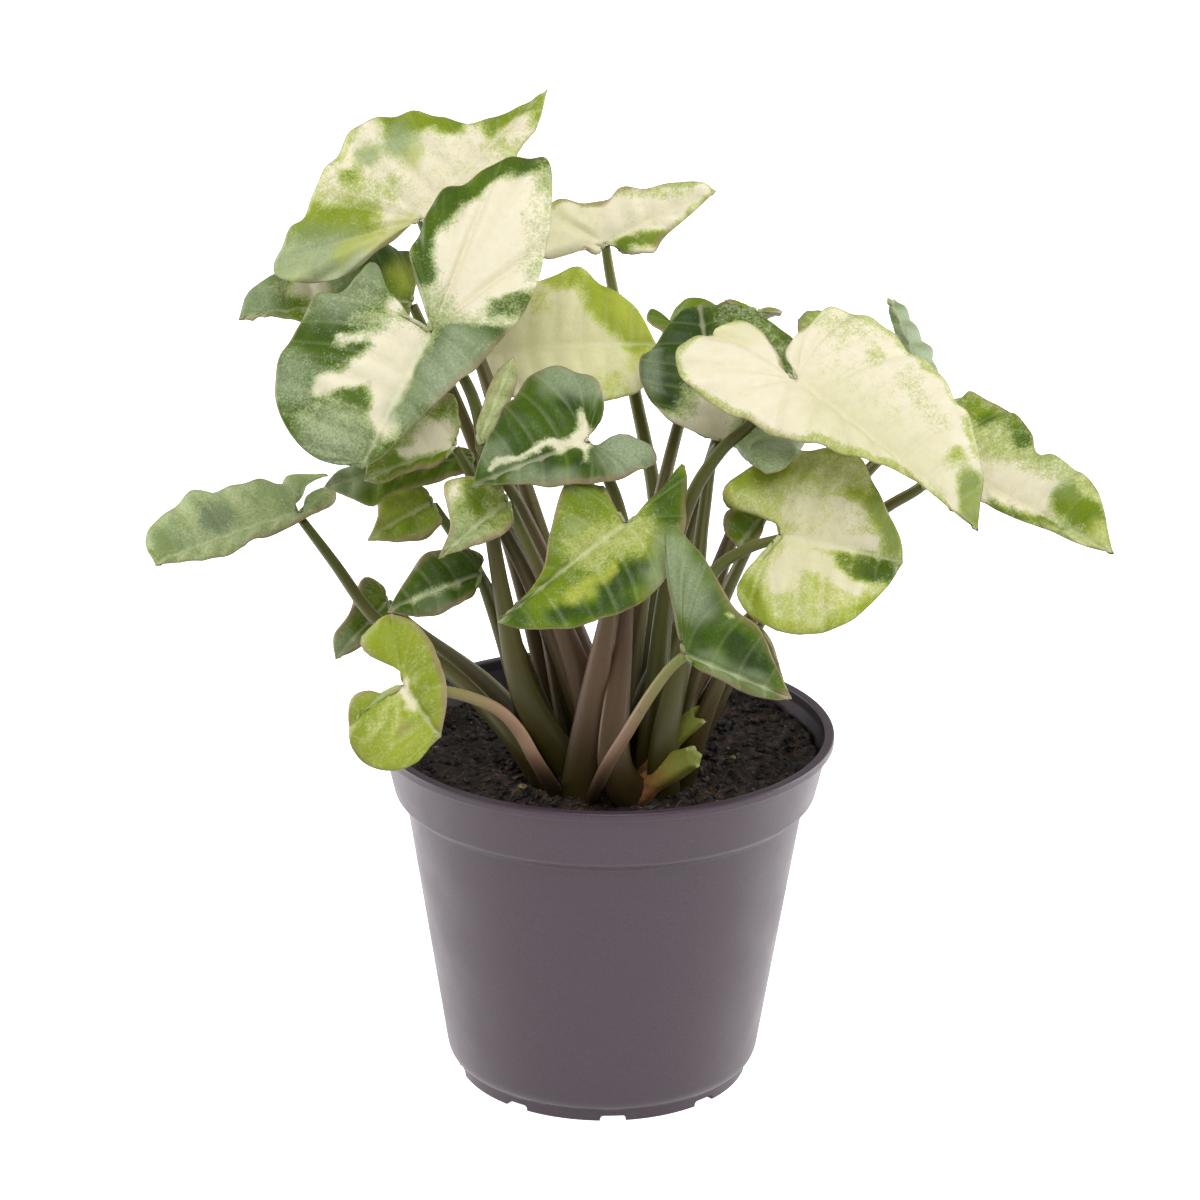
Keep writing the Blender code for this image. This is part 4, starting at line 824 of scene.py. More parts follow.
def pot_material():
    """Injection-moulded polypropylene: dark plum grey, satin, with a fine eroded grain.

    The mould's grain of about 0.2 mm is too fine to show and is drawn 0.5 mm coarse. Faint clouds
    keep the wall from looking flat, and its inside is drawn nearly black.
    """
    material, tree, shader = new_material("moulded_polypropylene")
    place = add(tree, "ShaderNodeTexCoord").outputs["Object"]
    grain = add(tree, "ShaderNodeTexNoise", {"Vector": place, "Scale": size_mm(0.5), "Detail": 2.0,
                                             "Roughness": 0.6})
    cloud = add(tree, "ShaderNodeTexNoise", {"Vector": place, "Scale": size_mm(14.0), "Detail": 3.0,
                                             "Roughness": 0.55})
    speckle = add(tree, "ShaderNodeMapRange", {"Value": grain.outputs["Fac"], "From Min": 0.35,
                                               "From Max": 0.65})
    base = add(tree, "ShaderNodeMix", {0: speckle.outputs[0], COLOUR_A: linear("#33262e"),
                                       COLOUR_B: linear("#3e303a")}, data_type="RGBA")
    drift = add(tree, "ShaderNodeMapRange", {"Value": cloud.outputs["Fac"], "From Min": 0.4,
                                             "From Max": 0.7, "To Max": 0.25})
    colour = add(tree, "ShaderNodeMix", {0: drift.outputs[0],
                                         COLOUR_A: base.outputs[MIXED_COLOUR],
                                         COLOUR_B: linear("#45373f")}, data_type="RGBA")
    # The wall's inside, which faces the pot's axis above its floor, is drawn nearly black.
    inner_wall_dark = add(tree, "ShaderNodeAttribute", attribute_name="inner_wall_dark").outputs["Fac"]
    inner_darkened = add(tree, "ShaderNodeMix", {0: inner_wall_dark, COLOUR_A: colour.outputs[MIXED_COLOUR],
                                          COLOUR_B: linear("#262224")}, data_type="RGBA")
    tree.links.new(inner_darkened.outputs[MIXED_COLOUR], shader.inputs["Base Color"])
    rough = add(tree, "ShaderNodeMapRange", {"Value": cloud.outputs["Fac"], "From Min": 0.35,
                                             "From Max": 0.65, "To Min": 0.38, "To Max": 0.46})
    tree.links.new(rough.outputs[0], shader.inputs["Roughness"])
    bump = add(tree, "ShaderNodeBump", {"Height": grain.outputs["Fac"], "Strength": 0.25,
                                        "Distance": 0.08 * MM})
    tree.links.new(bump.outputs["Normal"], shader.inputs["Normal"])
    shader.inputs["IOR"].default_value = 1.49
    shader.inputs["Specular Tint"].default_value = linear("#fbf1fa")
    return material


def studio_material():
    """Seamless white paper: matt, softly mottled, and lit so evenly that it glows."""
    material, tree, shader = new_material("white_studio_paper")
    place = add(tree, "ShaderNodeTexCoord").outputs["Object"]
    mottle = add(tree, "ShaderNodeTexNoise", {"Vector": place, "Scale": size_mm(300.0)})
    paper = add(tree, "ShaderNodeMix", {0: mottle.outputs["Fac"], COLOUR_A: linear("#fbfbfb"),
                                        COLOUR_B: linear("#ffffff")}, data_type="RGBA")
    tree.links.new(paper.outputs[MIXED_COLOUR], shader.inputs["Base Color"])
    shader.inputs["Roughness"].default_value = 0.95
    shader.inputs["Emission Color"].default_value = (1.0, 1.0, 1.0, 1.0)
    shader.inputs["Emission Strength"].default_value = FLOOR_GLOW
    return material


def from_view(right, up, near):
    """Turn a point of the front view into millimetres in the plant's own frame."""
    closer = 1.0 - near / VIEW_DISTANCE
    return VIEW_CENTRE + (VIEW_RIGHT * right + VIEW_UP * up) * closer + VIEW_TOWARD * near


def to_view(point):
    """Where a point shows in the front view, right and up."""
    offset = point - VIEW_CENTRE
    closer = 1.0 - offset.dot(VIEW_TOWARD) / VIEW_DISTANCE
    return offset.dot(VIEW_RIGHT) / closer, offset.dot(VIEW_UP) / closer


def smoothly(low, high, value):
    """0 up to low, 1 from high on, and a smooth rise between them. High may be the smaller."""
    share = min(1.0, max(0.0, (value - low) / (high - low)))
    return share * share * (3.0 - 2.0 * share)


def smooth_route(points, count):
    """Read count + 1 points, evenly spaced, from a smooth curve through the given ones."""
    ends = [points[0] * 2 - points[1]] + points + [points[-1] * 2 - points[-2]]
    fine = []
    for i in range(1, len(ends) - 2):
        before, start, stop, after = ends[i - 1:i + 3]
        for k in range(CURVE_STEPS):
            t = k / CURVE_STEPS
            fine.append(0.5 * (2 * start + (stop - before) * t
                               + (2 * before - 5 * start + 4 * stop - after) * t * t
                               + (3 * start - before - 3 * stop + after) * t ** 3))
    fine.append(points[-1].copy())
    lengths = [0.0]
    for a, b in zip(fine, fine[1:]):
        lengths.append(lengths[-1] + (b - a).length)
    result = []
    k = 0
    for i in range(count + 1):
        target = lengths[-1] * i / count
        while k < len(fine) - 2 and lengths[k + 1] < target:
            k += 1
        span = lengths[k + 1] - lengths[k]
        result.append(fine[k].lerp(fine[k + 1], (target - lengths[k]) / span if span else 0.0))
    return result


def between(points, place):
    """A point of a list at a place that may fall between two of them."""
    k = min(len(points) - 2, int(place))
    return points[k].lerp(points[k + 1], place - k)


def leaf_points(leaf):
    """Give a leaf's joint, tip and two outlines as 3-D points."""
    joint_right, joint_up = leaf["joint"]
    tip_right, tip_up = leaf["tip"][:2]
    midrib = math.hypot(tip_right - joint_right, tip_up - joint_up)

    def place(point, on_margin):
        right, up = point[:2]
        extra = point[2] if len(point) > 2 else 0.0
        across = abs((right - joint_right) * (tip_up - joint_up)
                     - (up - joint_up) * (tip_right - joint_right)) / midrib
        rise = leaf["fold"] * min(1.0, across / (0.5 * midrib)) if on_margin else 0.0
        near = (leaf["near"] + leaf["turn"] * (right - joint_right)
                + leaf["lean"] * (up - joint_up) + extra + rise)
        return from_view(right, up, near)

    joint = place(leaf["joint"], False)
    tip = place(leaf["tip"], False)
    sides = [[place(point, True) for point in leaf[side]] for side in ("upper", "lower")]
    return joint, tip, sides


def blade_normal(joint, tip, sides):
    """The leaf's mean facing direction, turned to its upper side."""
    loop = [joint] + sides[0] + [tip] + sides[1][::-1]
    normal = Vector((0.0, 0.0, 0.0))
    for a, b in zip(loop, loop[1:] + loop[:1]):
        normal += (a - joint).cross(b - joint)
    normal.normalize()
    return normal if normal.dot(VIEW_TOWARD + Vector((0.0, 0.0, 1.0))) > 0 else -normal


def notch_end(margin, joint, tip, normal, last):
    """The first place on a margin, past the notch, that a straight rib from the joint reaches."""
    along = (tip - joint).normalized()
    # Three quarters along, the margin is surely on its own side of the midrib.
    outward = margin[round(0.75 * MARGIN_POINTS)] - joint
    side = math.copysign(1.0, along.cross(outward).dot(normal))
    turns = []
    for point in margin:
        reach = point - joint
        turn = math.atan2(side * along.cross(reach).dot(normal), along.dot(reach))
        turns.append(turn if turn > -1.0 else turn + math.tau)
    first = next(i for i, point in enumerate(margin) if (point - joint).length > CLEAR_OF_JOINT)
    if first > last - LEAST_LOBE:
        return 0
    notch = max(i for i in range(first, last + 1) if turns[i] >= turns[first] - 0.02)
    return min(notch, last - LEAST_LOBE // 2)


def rib_plan(margin, joint, tip, normal, veins, per_vein):
    """Where one half's ribs start and end, and how many vein spacings along each one lies.

    A rib starts at a share of the midrib and ends at a place on the margin. The lobe's ribs all
    spring from the joint; the others leave the midrib in turn and slant forward. Also given are
    the number of lobe ribs and the place on the margin where the notch ends.
    """
    along = tip - joint
    furthest = 0.0
    reach = []
    for point in margin:
        share = (point - joint).dot(along) / along.length_squared
        furthest = max(furthest, (share - VEIN_SLANT) / (1.0 - VEIN_SLANT))
        reach.append(furthest)
    reach = [share / max(1.0, furthest) for share in reach]
    last_lobe = max(i for i, share in enumerate(reach) if share <= 0.0)
    step = (margin[1] - margin[0]).length
    notch = notch_end(margin, joint, tip, normal, last_lobe)
    swept = last_lobe - notch
    lobe_ribs = LOBE_VEINS * max(2, round(swept * step / (LOBE_VEINS * RIB_SPACING)))
    plan = [(0.0, notch + swept * k / lobe_ribs, LOBE_VEINS * k / lobe_ribs)
            for k in range(0 if notch else 1, lobe_ribs + 1)]
    rows = veins * per_vein
    end = last_lobe
    for row in range(1, rows):
        share = row / rows
        while reach[end + 1] < share:
            end += 1
        rise = reach[end + 1] - reach[end]
        part = (share - reach[end]) / rise if rise > 0 else 0.0
        plan.append((share, end + min(1.0, max(0.0, part)), LOBE_VEINS + row / per_vein))
    # Where the margin runs far past the last rib, more ribs fan out over the rest of it.
    share, end, vein = plan[-1]
    rest = MARGIN_POINTS - end
    fan = round(rest * step / RIB_SPACING)
    plan += [(share, end + rest * k / fan, vein) for k in range(1, fan)]
    return plan, lobe_ribs, notch


def patch_weight(patch, right, up):
    """How much of a patch lies at a place: 1 in its middle, fading past its radius."""
    place = Vector((right, up))
    start = Vector(patch[2:4])
    radius = patch[4]
    nearest = start
    if len(patch) > 5:
        run = Vector(patch[5:7]) - start
        nearest = start + run * min(1.0, max(0.0, (place - start).dot(run) / run.length_squared))
    return patch[1] * smoothly(1.7 * radius, 0.35 * radius, (place - nearest).length)


def leaf_colours(look, point, detail):
    """The colour shares of one place on a blade.

    A patch's edge wanders by up to 2.2 mm over 7 mm, and by 0.9 mm over 2.6 mm. Where cream and
    green mix, cream runs out a little along the veins. The margin beside the notch is tan.
    """
    wander = noise.noise_vector(point / 7.0) * 2.2 + noise.noise_vector(point / 2.6) * 0.9
    right, up = to_view(point)
    right += wander.x
    up += wander.z
    cream = look["cream"]
    tone = look["tone"] + 0.18 * noise.noise(point / 11.0)
    rim_width, rim_strength = look["rim"]
    cream *= 1.0 - rim_strength * smoothly(1.6 * rim_width, 0.3 * rim_width,
                                           detail["edge"] + 1.2 * wander.y)
    # A grey patch's weight is painted sheen, which the material lays over the colour.
    other = {"grey": 0.0, "yellow": 0.0, "pink": 0.0, "brown": 0.0}
    for patch in look["patches"]:
        weight = patch_weight(patch, right, up)
        if weight <= 0.0:
            continue
        kind = patch[0]
        if kind in PATCH_CREAM:
            cream += (PATCH_CREAM[kind] - cream) * weight
        else:
            other[kind] = max(other[kind], weight)
        if kind == "dark":
            tone += (1.0 - tone) * weight
    cream = min(1.0, max(0.0, cream))
    on_vein = smoothly(1.5, 0.0, detail["vein"]) - 0.2 + 0.8 * noise.noise(point / 4.0)
    cream += VEIN_CREAM * on_vein * 4.0 * cream * (1.0 - cream)
    notch_rim = 0.75 * smoothly(26.0, 8.0, detail["from_joint"]) * smoothly(2.2, 0.5, detail["edge"])
    return cream, tone, other["grey"], other["yellow"], max(other["pink"], other["brown"], notch_rim)


def add_attribute(mesh, name, values):
    """Store a value for each of a mesh's points, for its material to read."""
    mesh.attributes.new(name, "FLOAT", "POINT").data.foreach_set("value", values)


def show(item, node=None):
    """Put a piece in the scene, let it ride on the plant's body and stand for its node."""
    bpy.context.scene.collection.objects.link(item)
    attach(item, "root")
    if node:
        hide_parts(node)


def lay_faces(surface, lines):
    """Lay faces between lines of vertices. Vertices that meet make triangles."""
    for line, after in zip(lines, lines[1:]):
        for k in range(len(line) - 1):
            corners = list(dict.fromkeys((line[k], line[k + 1], after[k + 1], after[k])))
            if len(corners) > 2:
                face = surface.faces.new(corners)
                face.smooth = True


def thicken(blade, details):
    """Give a blade its thickness: most in the keel under its midrib, some more under each vein."""
    keel = blade.vertex_groups.new(name="keel")
    for k, detail in enumerate(details):
        rib = math.exp(-(detail["midrib"] / KEEL_HALF_WIDTH) ** 2) * (1.0 - detail["along"])
        rib *= smoothly(-1.0, 5.0, detail["from_joint"])
        side_rib = 0.12 * smoothly(0.8, 0.0, detail["vein"])
        thin = BLADE_THICKNESS / KEEL_THICKNESS
        thin *= 0.12 + 0.88 * smoothly(0.3, 3.5, detail["from_joint"])
        keel.add([k], min(1.0, thin + (1.0 - thin) * rib + side_rib * (1.0 - rib)), "REPLACE")
    shell = blade.modifiers.new("thickness", "SOLIDIFY")
    shell.thickness = KEEL_THICKNESS * MM
    shell.offset = -1.0
    shell.vertex_group = "keel"
    shell.material_offset = 1
    shell.material_offset_rim = 0


def build_blade(name, leaf, look, upper_skin, under_skin):
    """Make one blade: ribs lofted from its midrib to its margins, quilted between its veins."""
    joint, tip, sides = leaf_points(leaf)
    normal = blade_normal(joint, tip, sides)
    along = tip - joint
    length = along.length
    veins = max(3, min(7, round(length / VEIN_SPACING)))
    per_vein = max(3, round(length / (veins * RIB_SPACING)))
    rows = veins * per_vein
    own = random.Random(name)
    phase = [own.uniform(0.0, math.tau) for _ in range(3)]

    def arch(point):
        share = max(-0.3, (point - joint).dot(along) / along.length_squared)
        return normal * (BLADE_ARCH * length * 4.0 * share * (1.0 - share))

    def ripple(along_margin, side):
        turns = math.tau * along_margin / MARGIN_WAVE_LENGTH
        return MARGIN_WAVE * (math.sin(turns + phase[side]) + 0.6 * math.sin(turns / 0.57 + phase[2]))

    def settled(lift, place, part):
        from_joint = (place - joint).length
        lift += PUCKER * noise.noise(place / PUCKER_SIZE) * part
        dimple = JOINT_DIMPLE * smoothly(JOINT_DIMPLE_RADIUS, 0.0, from_joint)
        return lift * smoothly(*CALM_BESIDE_JOINT, from_joint) - dimple

    surface = bmesh.new()
    places = []
    lifts = []
    details = []

    def vertex(place, lift, detail):
        places.append(place)
        lifts.append(lift)
        details.append(detail)
        return surface.verts.new(place)

    midrib = []
    for row in range(rows + 1):
        share = row / rows
        place = joint.lerp(tip, share)
        place = place + arch(place)
        from_joint = share * length
        detail = {"vein": 0.0, "edge": MIDRIB_FROM_MARGIN * (1.0 - share), "midrib": 0.0,
                  "along": share, "from_joint": from_joint}
        dip = MIDRIB_GROOVE * (1.0 - share) * smoothly(*CALM_BESIDE_JOINT, from_joint)
        dip += JOINT_DIMPLE * smoothly(JOINT_DIMPLE_RADIUS, 0.0, from_joint)
        midrib.append(vertex(place, -dip, detail))

    for side, outline in enumerate(sides):
        margin = smooth_route([joint] + outline + [tip], MARGIN_POINTS)
        step = (margin[1] - margin[0]).length
        plan, lobe_ribs, notch = rib_plan(margin, joint, tip, normal, veins, per_vein)
        widest = max((between(margin, end) - joint.lerp(tip, share)).length
                     for share, end, _ in plan)
        columns = max(5, min(26, round(widest / COLUMN_SPACING)))
        grid = []
        for share, end, vein in plan:
            start = joint.lerp(tip, share)
            stop = between(margin, end)
            reach = stop - start
            swept = min(1.0, vein / LOBE_VEINS) * (1.0 - share)
            line = []
            for column in range(columns + 1):
                part = column / columns
                hump = math.sin(math.pi * part)
                place = (start + reach * part + normal * (BLADE_CROWN * reach.length * hump)
                         - along.normalized() * (VEIN_SWEEP * reach.length * swept * hump))
                line.append(place + arch(place))
            grid.append(line)
        lobe_step = lobe_ribs // LOBE_VEINS
        skipped = 0 if notch else 1
        verts = []
        for k, (share, end, vein) in enumerate(plan):
            in_lobe = vein <= LOBE_VEINS + 1e-6
            spacing = lobe_step if in_lobe else per_vein
            past = (k + skipped) % lobe_step if in_lobe else (k + skipped - lobe_ribs) % per_vein
            before = k - past
            after = min(len(plan) - 1, before + spacing)
            row_verts = [midrib[round(share * rows)]]
            reach = (grid[k][-1] - grid[k][0]).length
            for column in range(1, columns + 1):
                part = column / columns
                place = grid[k][column]
                gaps = [(place - grid[near][column]).length
                        for near in (before, after) if 0 <= near < len(grid)]
                if past == 0:
                    gaps = [0.0]
                to_vein = min(gaps) if gaps else reach
                edge = reach * (1.0 - part)
                from_midrib = reach * part
                lift = QUILT_HEIGHT * smoothly(0.0, QUILT_FLANK, to_vein) * (
                    math.sin(math.pi * part) ** 0.6)
                lift -= GROOVE_DEPTH * smoothly(GROOVE_WIDTH, 0.0, to_vein) * (1.0 - part)
                lift -= MIDRIB_GROOVE * smoothly(MIDRIB_GROOVE_WIDTH, 0.0, from_midrib) * (1.0 - share)
                lift += ripple(end * step, side) * part ** 3 * min(1.0, reach / 12.0) * (
                    1.0 - share ** 3)
                lift = settled(lift, place, part)
                detail = {"vein": to_vein, "edge": edge, "midrib": from_midrib, "along": share,
                          "from_joint": (place - joint).length}
                row_verts.append(vertex(place, lift, detail))
            verts.append(row_verts)
        verts.append([midrib[rows]] * (columns + 1))
        lay_faces(surface, verts)
        if not notch:
            continue
        # Between the first rib and the notch's margin, cross ribs run from one to the other.
        ends = [between(margin, notch * column / columns) for column in range(columns + 1)]
        widest = max((stop - start).length for start, stop in zip(grid[0], ends))
        steps = max(2, min(20, round(widest / COLUMN_SPACING)))
        cross_ribs = [[midrib[0]] * (steps + 1)]
        for column in range(1, columns):
            start = grid[0][column]
            stop = ends[column] + arch(ends[column])
            reach = (stop - start).length
            line = [verts[0][column]]
            for k in range(1, steps + 1):
                part = k / steps
                hump = math.sin(math.pi * part)
                place = start.lerp(stop, part) + normal * (BLADE_CROWN * reach * hump)
                lift = QUILT_HEIGHT * smoothly(0.0, QUILT_FLANK, part * reach) * hump ** 0.6
                lift += ripple(notch * column / columns * step, side) * part ** 3 * min(
                    1.0, reach / 12.0)
                detail = {"vein": part * reach, "edge": (1.0 - part) * reach, "along": 0.0,
                          "midrib": (place - joint).length, "from_joint": (place - joint).length}
                line.append(vertex(place, settled(lift, place, part), detail))
            cross_ribs.append(line)
        cross_ribs.append([verts[0][columns]] * (steps + 1))
        lay_faces(surface, cross_ribs)
    bmesh.ops.recalc_face_normals(surface, faces=surface.faces)
    surface.normal_update()
    if sum(face.normal.dot(normal) * face.calc_area() for face in surface.faces) < 0:
        bmesh.ops.reverse_faces(surface, faces=surface.faces)
        surface.normal_update()
    moved = [vert.co + vert.normal * lift for vert, lift in zip(surface.verts, lifts)]
    for vert, place in zip(surface.verts, moved):
        vert.co = place * MM
    mesh = bpy.data.meshes.new(f"blade_{name}")
    surface.to_mesh(mesh)
    surface.free()
    colours = [leaf_colours(look, place, detail) for place, detail in zip(places, details)]
    for k, attribute in enumerate(("cream", "tone", "grey", "yellow", "blush")):
        add_attribute(mesh, attribute, [values[k] for values in colours])
    for attribute in ("vein", "edge", "midrib"):
        add_attribute(mesh, attribute, [detail[attribute] for detail in details])
    mesh.materials.append(upper_skin)
    mesh.materials.append(under_skin)
    blade = bpy.data.objects.new(f"blade_{name}", mesh)
    thicken(blade, details)
    show(blade, f"leaf_{name}")
    return joint, normal


def stalk_foot(ring, angle):
    """Where a stalk stands in the soil."""
    turn = math.radians(angle)
    reach = RING_RADIUS[ring]
    return Vector((CLUMP_CENTRE[0] + reach * math.cos(turn),
                   CLUMP_CENTRE[1] + reach * math.sin(turn), SOIL_TOP))


def stalk_route(leaf, joint, normal):
    """A stalk's centre line, from inside the soil to just under its blade."""
    foot = stalk_foot(*leaf["stalk"])
    start = foot + Vector((0.0, 0.0, STALK_COLLAR))
    reach = joint - start
    bow = Vector((0.0, 0.0, STALK_BOW * math.hypot(reach.x, reach.y)))
    passing = [start + reach / 3 + bow, start + reach * 2 / 3 + bow]
    if "route" in leaf:
        passing = [from_view(*point) for point in leaf["route"]]
    slant = (joint - passing[-1]).normalized().dot(normal)
    lip = STALK_TOP_RADIUS * math.sqrt(max(0.0, 1.0 - slant * slant))
    end = joint - normal * (BLADE_THICKNESS + lip)
    into_soil = (foot - passing[0]).normalized() * STALK_SINK
    knots = [foot + into_soil, foot] + passing + [end]
    length = sum((b - a).length for a, b in zip(knots, knots[1:]))
    return smooth_route(knots, round(length / STALK_STEP))


def rings_along(points, sides, radius_at, facing):
    """Rings of points round a route, kept from twisting, each with its angle and its distance."""
    heading = (points[1] - points[0]).normalized()
    across = (facing - heading * facing.dot(heading)).normalized()
    rings = []
    travelled = 0.0
    for k, point in enumerate(points):
        after = points[min(k + 1, len(points) - 1)]
        before = points[max(k - 1, 0)]
        heading = (after - before).normalized()
        across = (across - heading * across.dot(heading)).normalized()
        beside = heading.cross(across)
        if k:
            travelled += (point - points[k - 1]).length
        ring = []
        for side in range(sides):
            angle = math.tau * side / sides
            thick, wide = radius_at(k / (len(points) - 1), travelled, angle)
            out = across * (math.cos(angle) * thick) + beside * (math.sin(angle) * wide)
            ring.append((point + out, angle, travelled))
        rings.append(ring)
    return rings


def skin_rings(surface, rings):
    """Join rings into a closed tube."""
    verts = [[surface.verts.new(place) for place, *_ in ring] for ring in rings]
    sides = len(verts[0])
    for low, high in zip(verts, verts[1:]):
        for k in range(sides):
            face = surface.faces.new((low[k], low[(k + 1) % sides], high[(k + 1) % sides], high[k]))
            face.smooth = True
    surface.faces.new(verts[0][::-1])
    surface.faces.new(verts[-1])


def build_stalk(name, leaf, joint, normal, material):
    """Make one stalk: a sheathing foot, flattened inside, that narrows to a round stem."""
    points = stalk_route(leaf, joint, normal)
    blush, pallor = STALK_LOOKS[name]
    foot = points[0]
    inward = Vector((CLUMP_CENTRE[0] - foot.x, CLUMP_CENTRE[1] - foot.y, 0.0))
    if inward.length < 1.0:
        inward = Vector((0.0, 1.0, 0.0))
    turn = random.Random(name).uniform(0.0, math.tau)
    middle_radius = STALK_MID_RADIUS * (0.72 if name in SLIM_STALKS else 1.0)
    wider = 0.0 if name in SLIM_STALKS else SHEATH_WIDER[leaf["stalk"][0]]

    def radius_at(share, travelled, angle):
        radius = STALK_TOP_RADIUS + (middle_radius - STALK_TOP_RADIUS) * (1.0 - share) ** 0.7
        sheath = smoothly(SHEATH_LENGTH, 6.0, travelled)
        hollow = 1.0 - (0.12 + 0.3 * sheath) * max(0.0, math.cos(angle)) ** 2
        ridges = 1.0 + 0.025 * math.sin(7.0 * angle + turn) * sheath
        thick = (radius + SHEATH_THICKER * sheath) * hollow * ridges
        return thick, (radius + wider * sheath) * ridges

    rings = rings_along(points, STALK_SIDES, radius_at, inward)
    surface = bmesh.new()
    skin_rings(surface, rings)
    bmesh.ops.scale(surface, vec=(MM, MM, MM), verts=surface.verts)
    mesh = bpy.data.meshes.new(f"petiole_{name}")
    surface.to_mesh(mesh)
    surface.free()
    flat = [item for ring in rings for item in ring]
    total = flat[-1][2]
    add_attribute(mesh, "along", [travelled for *_, travelled in flat])
    add_attribute(mesh, "height", [travelled / STRAND_LENGTH + 7.0 * turn
                                   for *_, travelled in flat])
    add_attribute(mesh, "streak_x", [STRANDS_ACROSS_RADIUS * math.cos(angle)
                                     for _, angle, _ in flat])
    add_attribute(mesh, "streak_y", [STRANDS_ACROSS_RADIUS * math.sin(angle)
                                     for _, angle, _ in flat])
    add_attribute(mesh, "groove", [max(0.0, math.cos(angle - 0.6)) ** 6 for _, angle, _ in flat])
    add_attribute(mesh, "blush", [blush * smoothly(1.0, 0.55, travelled / total) + 0.08
                                  for *_, travelled in flat])
    add_attribute(mesh, "pallor", [pallor * pallor] * len(flat))
    mesh.materials.append(material)
    show(bpy.data.objects.new(f"petiole_{name}", mesh), f"stalk_{name}")


# The old stalk's two torn stubs at the right of the clump: points of the front view from inside
# the clump to the torn end, the radius along each, and how far its torn edge runs up and down.
STUBS = [
    {"route": [(12, -48, 10), (16, -41, 11), (21, -34.5, 13), (26.4, -29.5, 16)],
     "radii": (3.0, 2.3), "ragged": 1.3},
    {"route": [(10, -51, 14), (15, -46.5, 17), (20, -43, 20), (25, -40.5, 23)],
     "radii": (3.8, 3.2), "ragged": 1.2},
]


def finished_mesh(item):
    """The mesh that an object's modifiers give."""
    graph = bpy.context.evaluated_depsgraph_get()
    return bpy.data.meshes.new_from_object(item.evaluated_get(graph))


def build_stump(material):
    """Make the torn stubs: thick ridged stems that end in a ragged hollow."""
    surface = bmesh.new()
    along = []
    for k, stub in enumerate(STUBS):
        points = smooth_route([from_view(*point) for point in stub["route"]], STUB_STEPS)
        low, high = stub["radii"]

        def radius_at(share, travelled, angle):
            radius = low + (high - low) * share
            radius *= 1.0 + 0.10 * math.sin(3.0 * angle + k) + 0.05 * math.sin(7.0 * angle)
            radius *= 1.0 + 0.10 * math.sin(9.0 * share + 2.0 * k)
            return radius, radius

        rings = rings_along(points, STUB_SIDES, radius_at, Vector((0.0, -1.0, 0.3)))
        end = points[-1]
        heading = (end - points[-2]).normalized()
        tear = []
        for place, angle, travelled in rings[-1]:
            rise = stub["ragged"] * (0.5 * math.sin(2.0 * angle + k) + 0.35 * math.sin(5.0 * angle))
            tear.append((place + heading * rise, angle, travelled + rise))
        hollow = [(end + (place - end) * 0.6 - heading * 1.2, angle, travelled)
                  for place, angle, travelled in tear]
        deep = [(end + (place - end) * 0.25 - heading * 2.4, angle, travelled)
                for place, angle, travelled in tear]
        rings = rings[:-1] + [tear, hollow, deep]
        skin_rings(surface, rings)
        total = rings[-1][0][2]
        along += [min(1.0, travelled / total) for ring in rings for *_, travelled in ring]
    bmesh.ops.scale(surface, vec=(MM, MM, MM), verts=surface.verts)
    mesh = bpy.data.meshes.new("torn_stubs")
    surface.to_mesh(mesh)
    surface.free()
    add_attribute(mesh, "along", along)
    mesh.materials.append(material)
    show(bpy.data.objects.new("torn_stubs", mesh), "cut_stump")


def from_clump(x, y):
    """How far a place on the soil lies from the middle of the stalks."""
    return math.hypot(x - CLUMP_CENTRE[0], y - CLUMP_CENTRE[1])


def soil_height(x, y):
    """The height of the crumbly soil, 2.8 mm more at the right and 1.2 mm more at the stalks."""
    place = Vector((x, y, 0.0))
    height = SOIL_TOP + 2.8 * smoothly(0.0, 50.0, x + 0.4 * y)
    height += 1.2 * smoothly(32.0, 16.0, from_clump(x, y))
    height += 1.3 * noise.noise(place / 13.0) + 0.8 * noise.noise(place / 5.0)
    height += 1.1 * noise.fractal(place / 2.6, 0.8, 2.0, 4)
    return height


def build_soil(material):
    """Make the soil as one closed body with a crumbly top, just inside the pot's wall."""
    surface = bmesh.new()
    rings = round(SOIL_RADIUS / SOIL_CELL)
    middle = surface.verts.new((0.0, 0.0, soil_height(0.0, 0.0)))
    previous = None
    for ring in range(1, rings + 1):
        reach = SOIL_RADIUS * ring / rings
        verts = []
        for k in range(SOIL_SIDES):
            angle = math.tau * k / SOIL_SIDES
            x, y = reach * math.cos(angle), reach * math.sin(angle)
            verts.append(surface.verts.new((x, y, soil_height(x, y))))
        for k in range(SOIL_SIDES):
            after = (k + 1) % SOIL_SIDES
            if previous is None:
                face = surface.faces.new((middle, verts[k], verts[after]))
            else:
                face = surface.faces.new((previous[k], verts[k], verts[after], previous[after]))
            face.smooth = True
        previous = verts
    low = [surface.verts.new((vert.co.x * SOIL_TAPER, vert.co.y * SOIL_TAPER, SOIL_TOP - SOIL_DEPTH))
           for vert in previous]
    for k in range(SOIL_SIDES):
        after = (k + 1) % SOIL_SIDES
        surface.faces.new((previous[k], low[k], low[after], previous[after]))
    surface.faces.new(low[::-1])
    bmesh.ops.recalc_face_normals(surface, faces=surface.faces)
    bmesh.ops.scale(surface, vec=(MM, MM, MM), verts=surface.verts)
    mesh = bpy.data.meshes.new("soil_bed")
    surface.to_mesh(mesh)
    surface.free()
    mesh.materials.append(material)
    show(bpy.data.objects.new("soil_bed", mesh), "potting_soil")


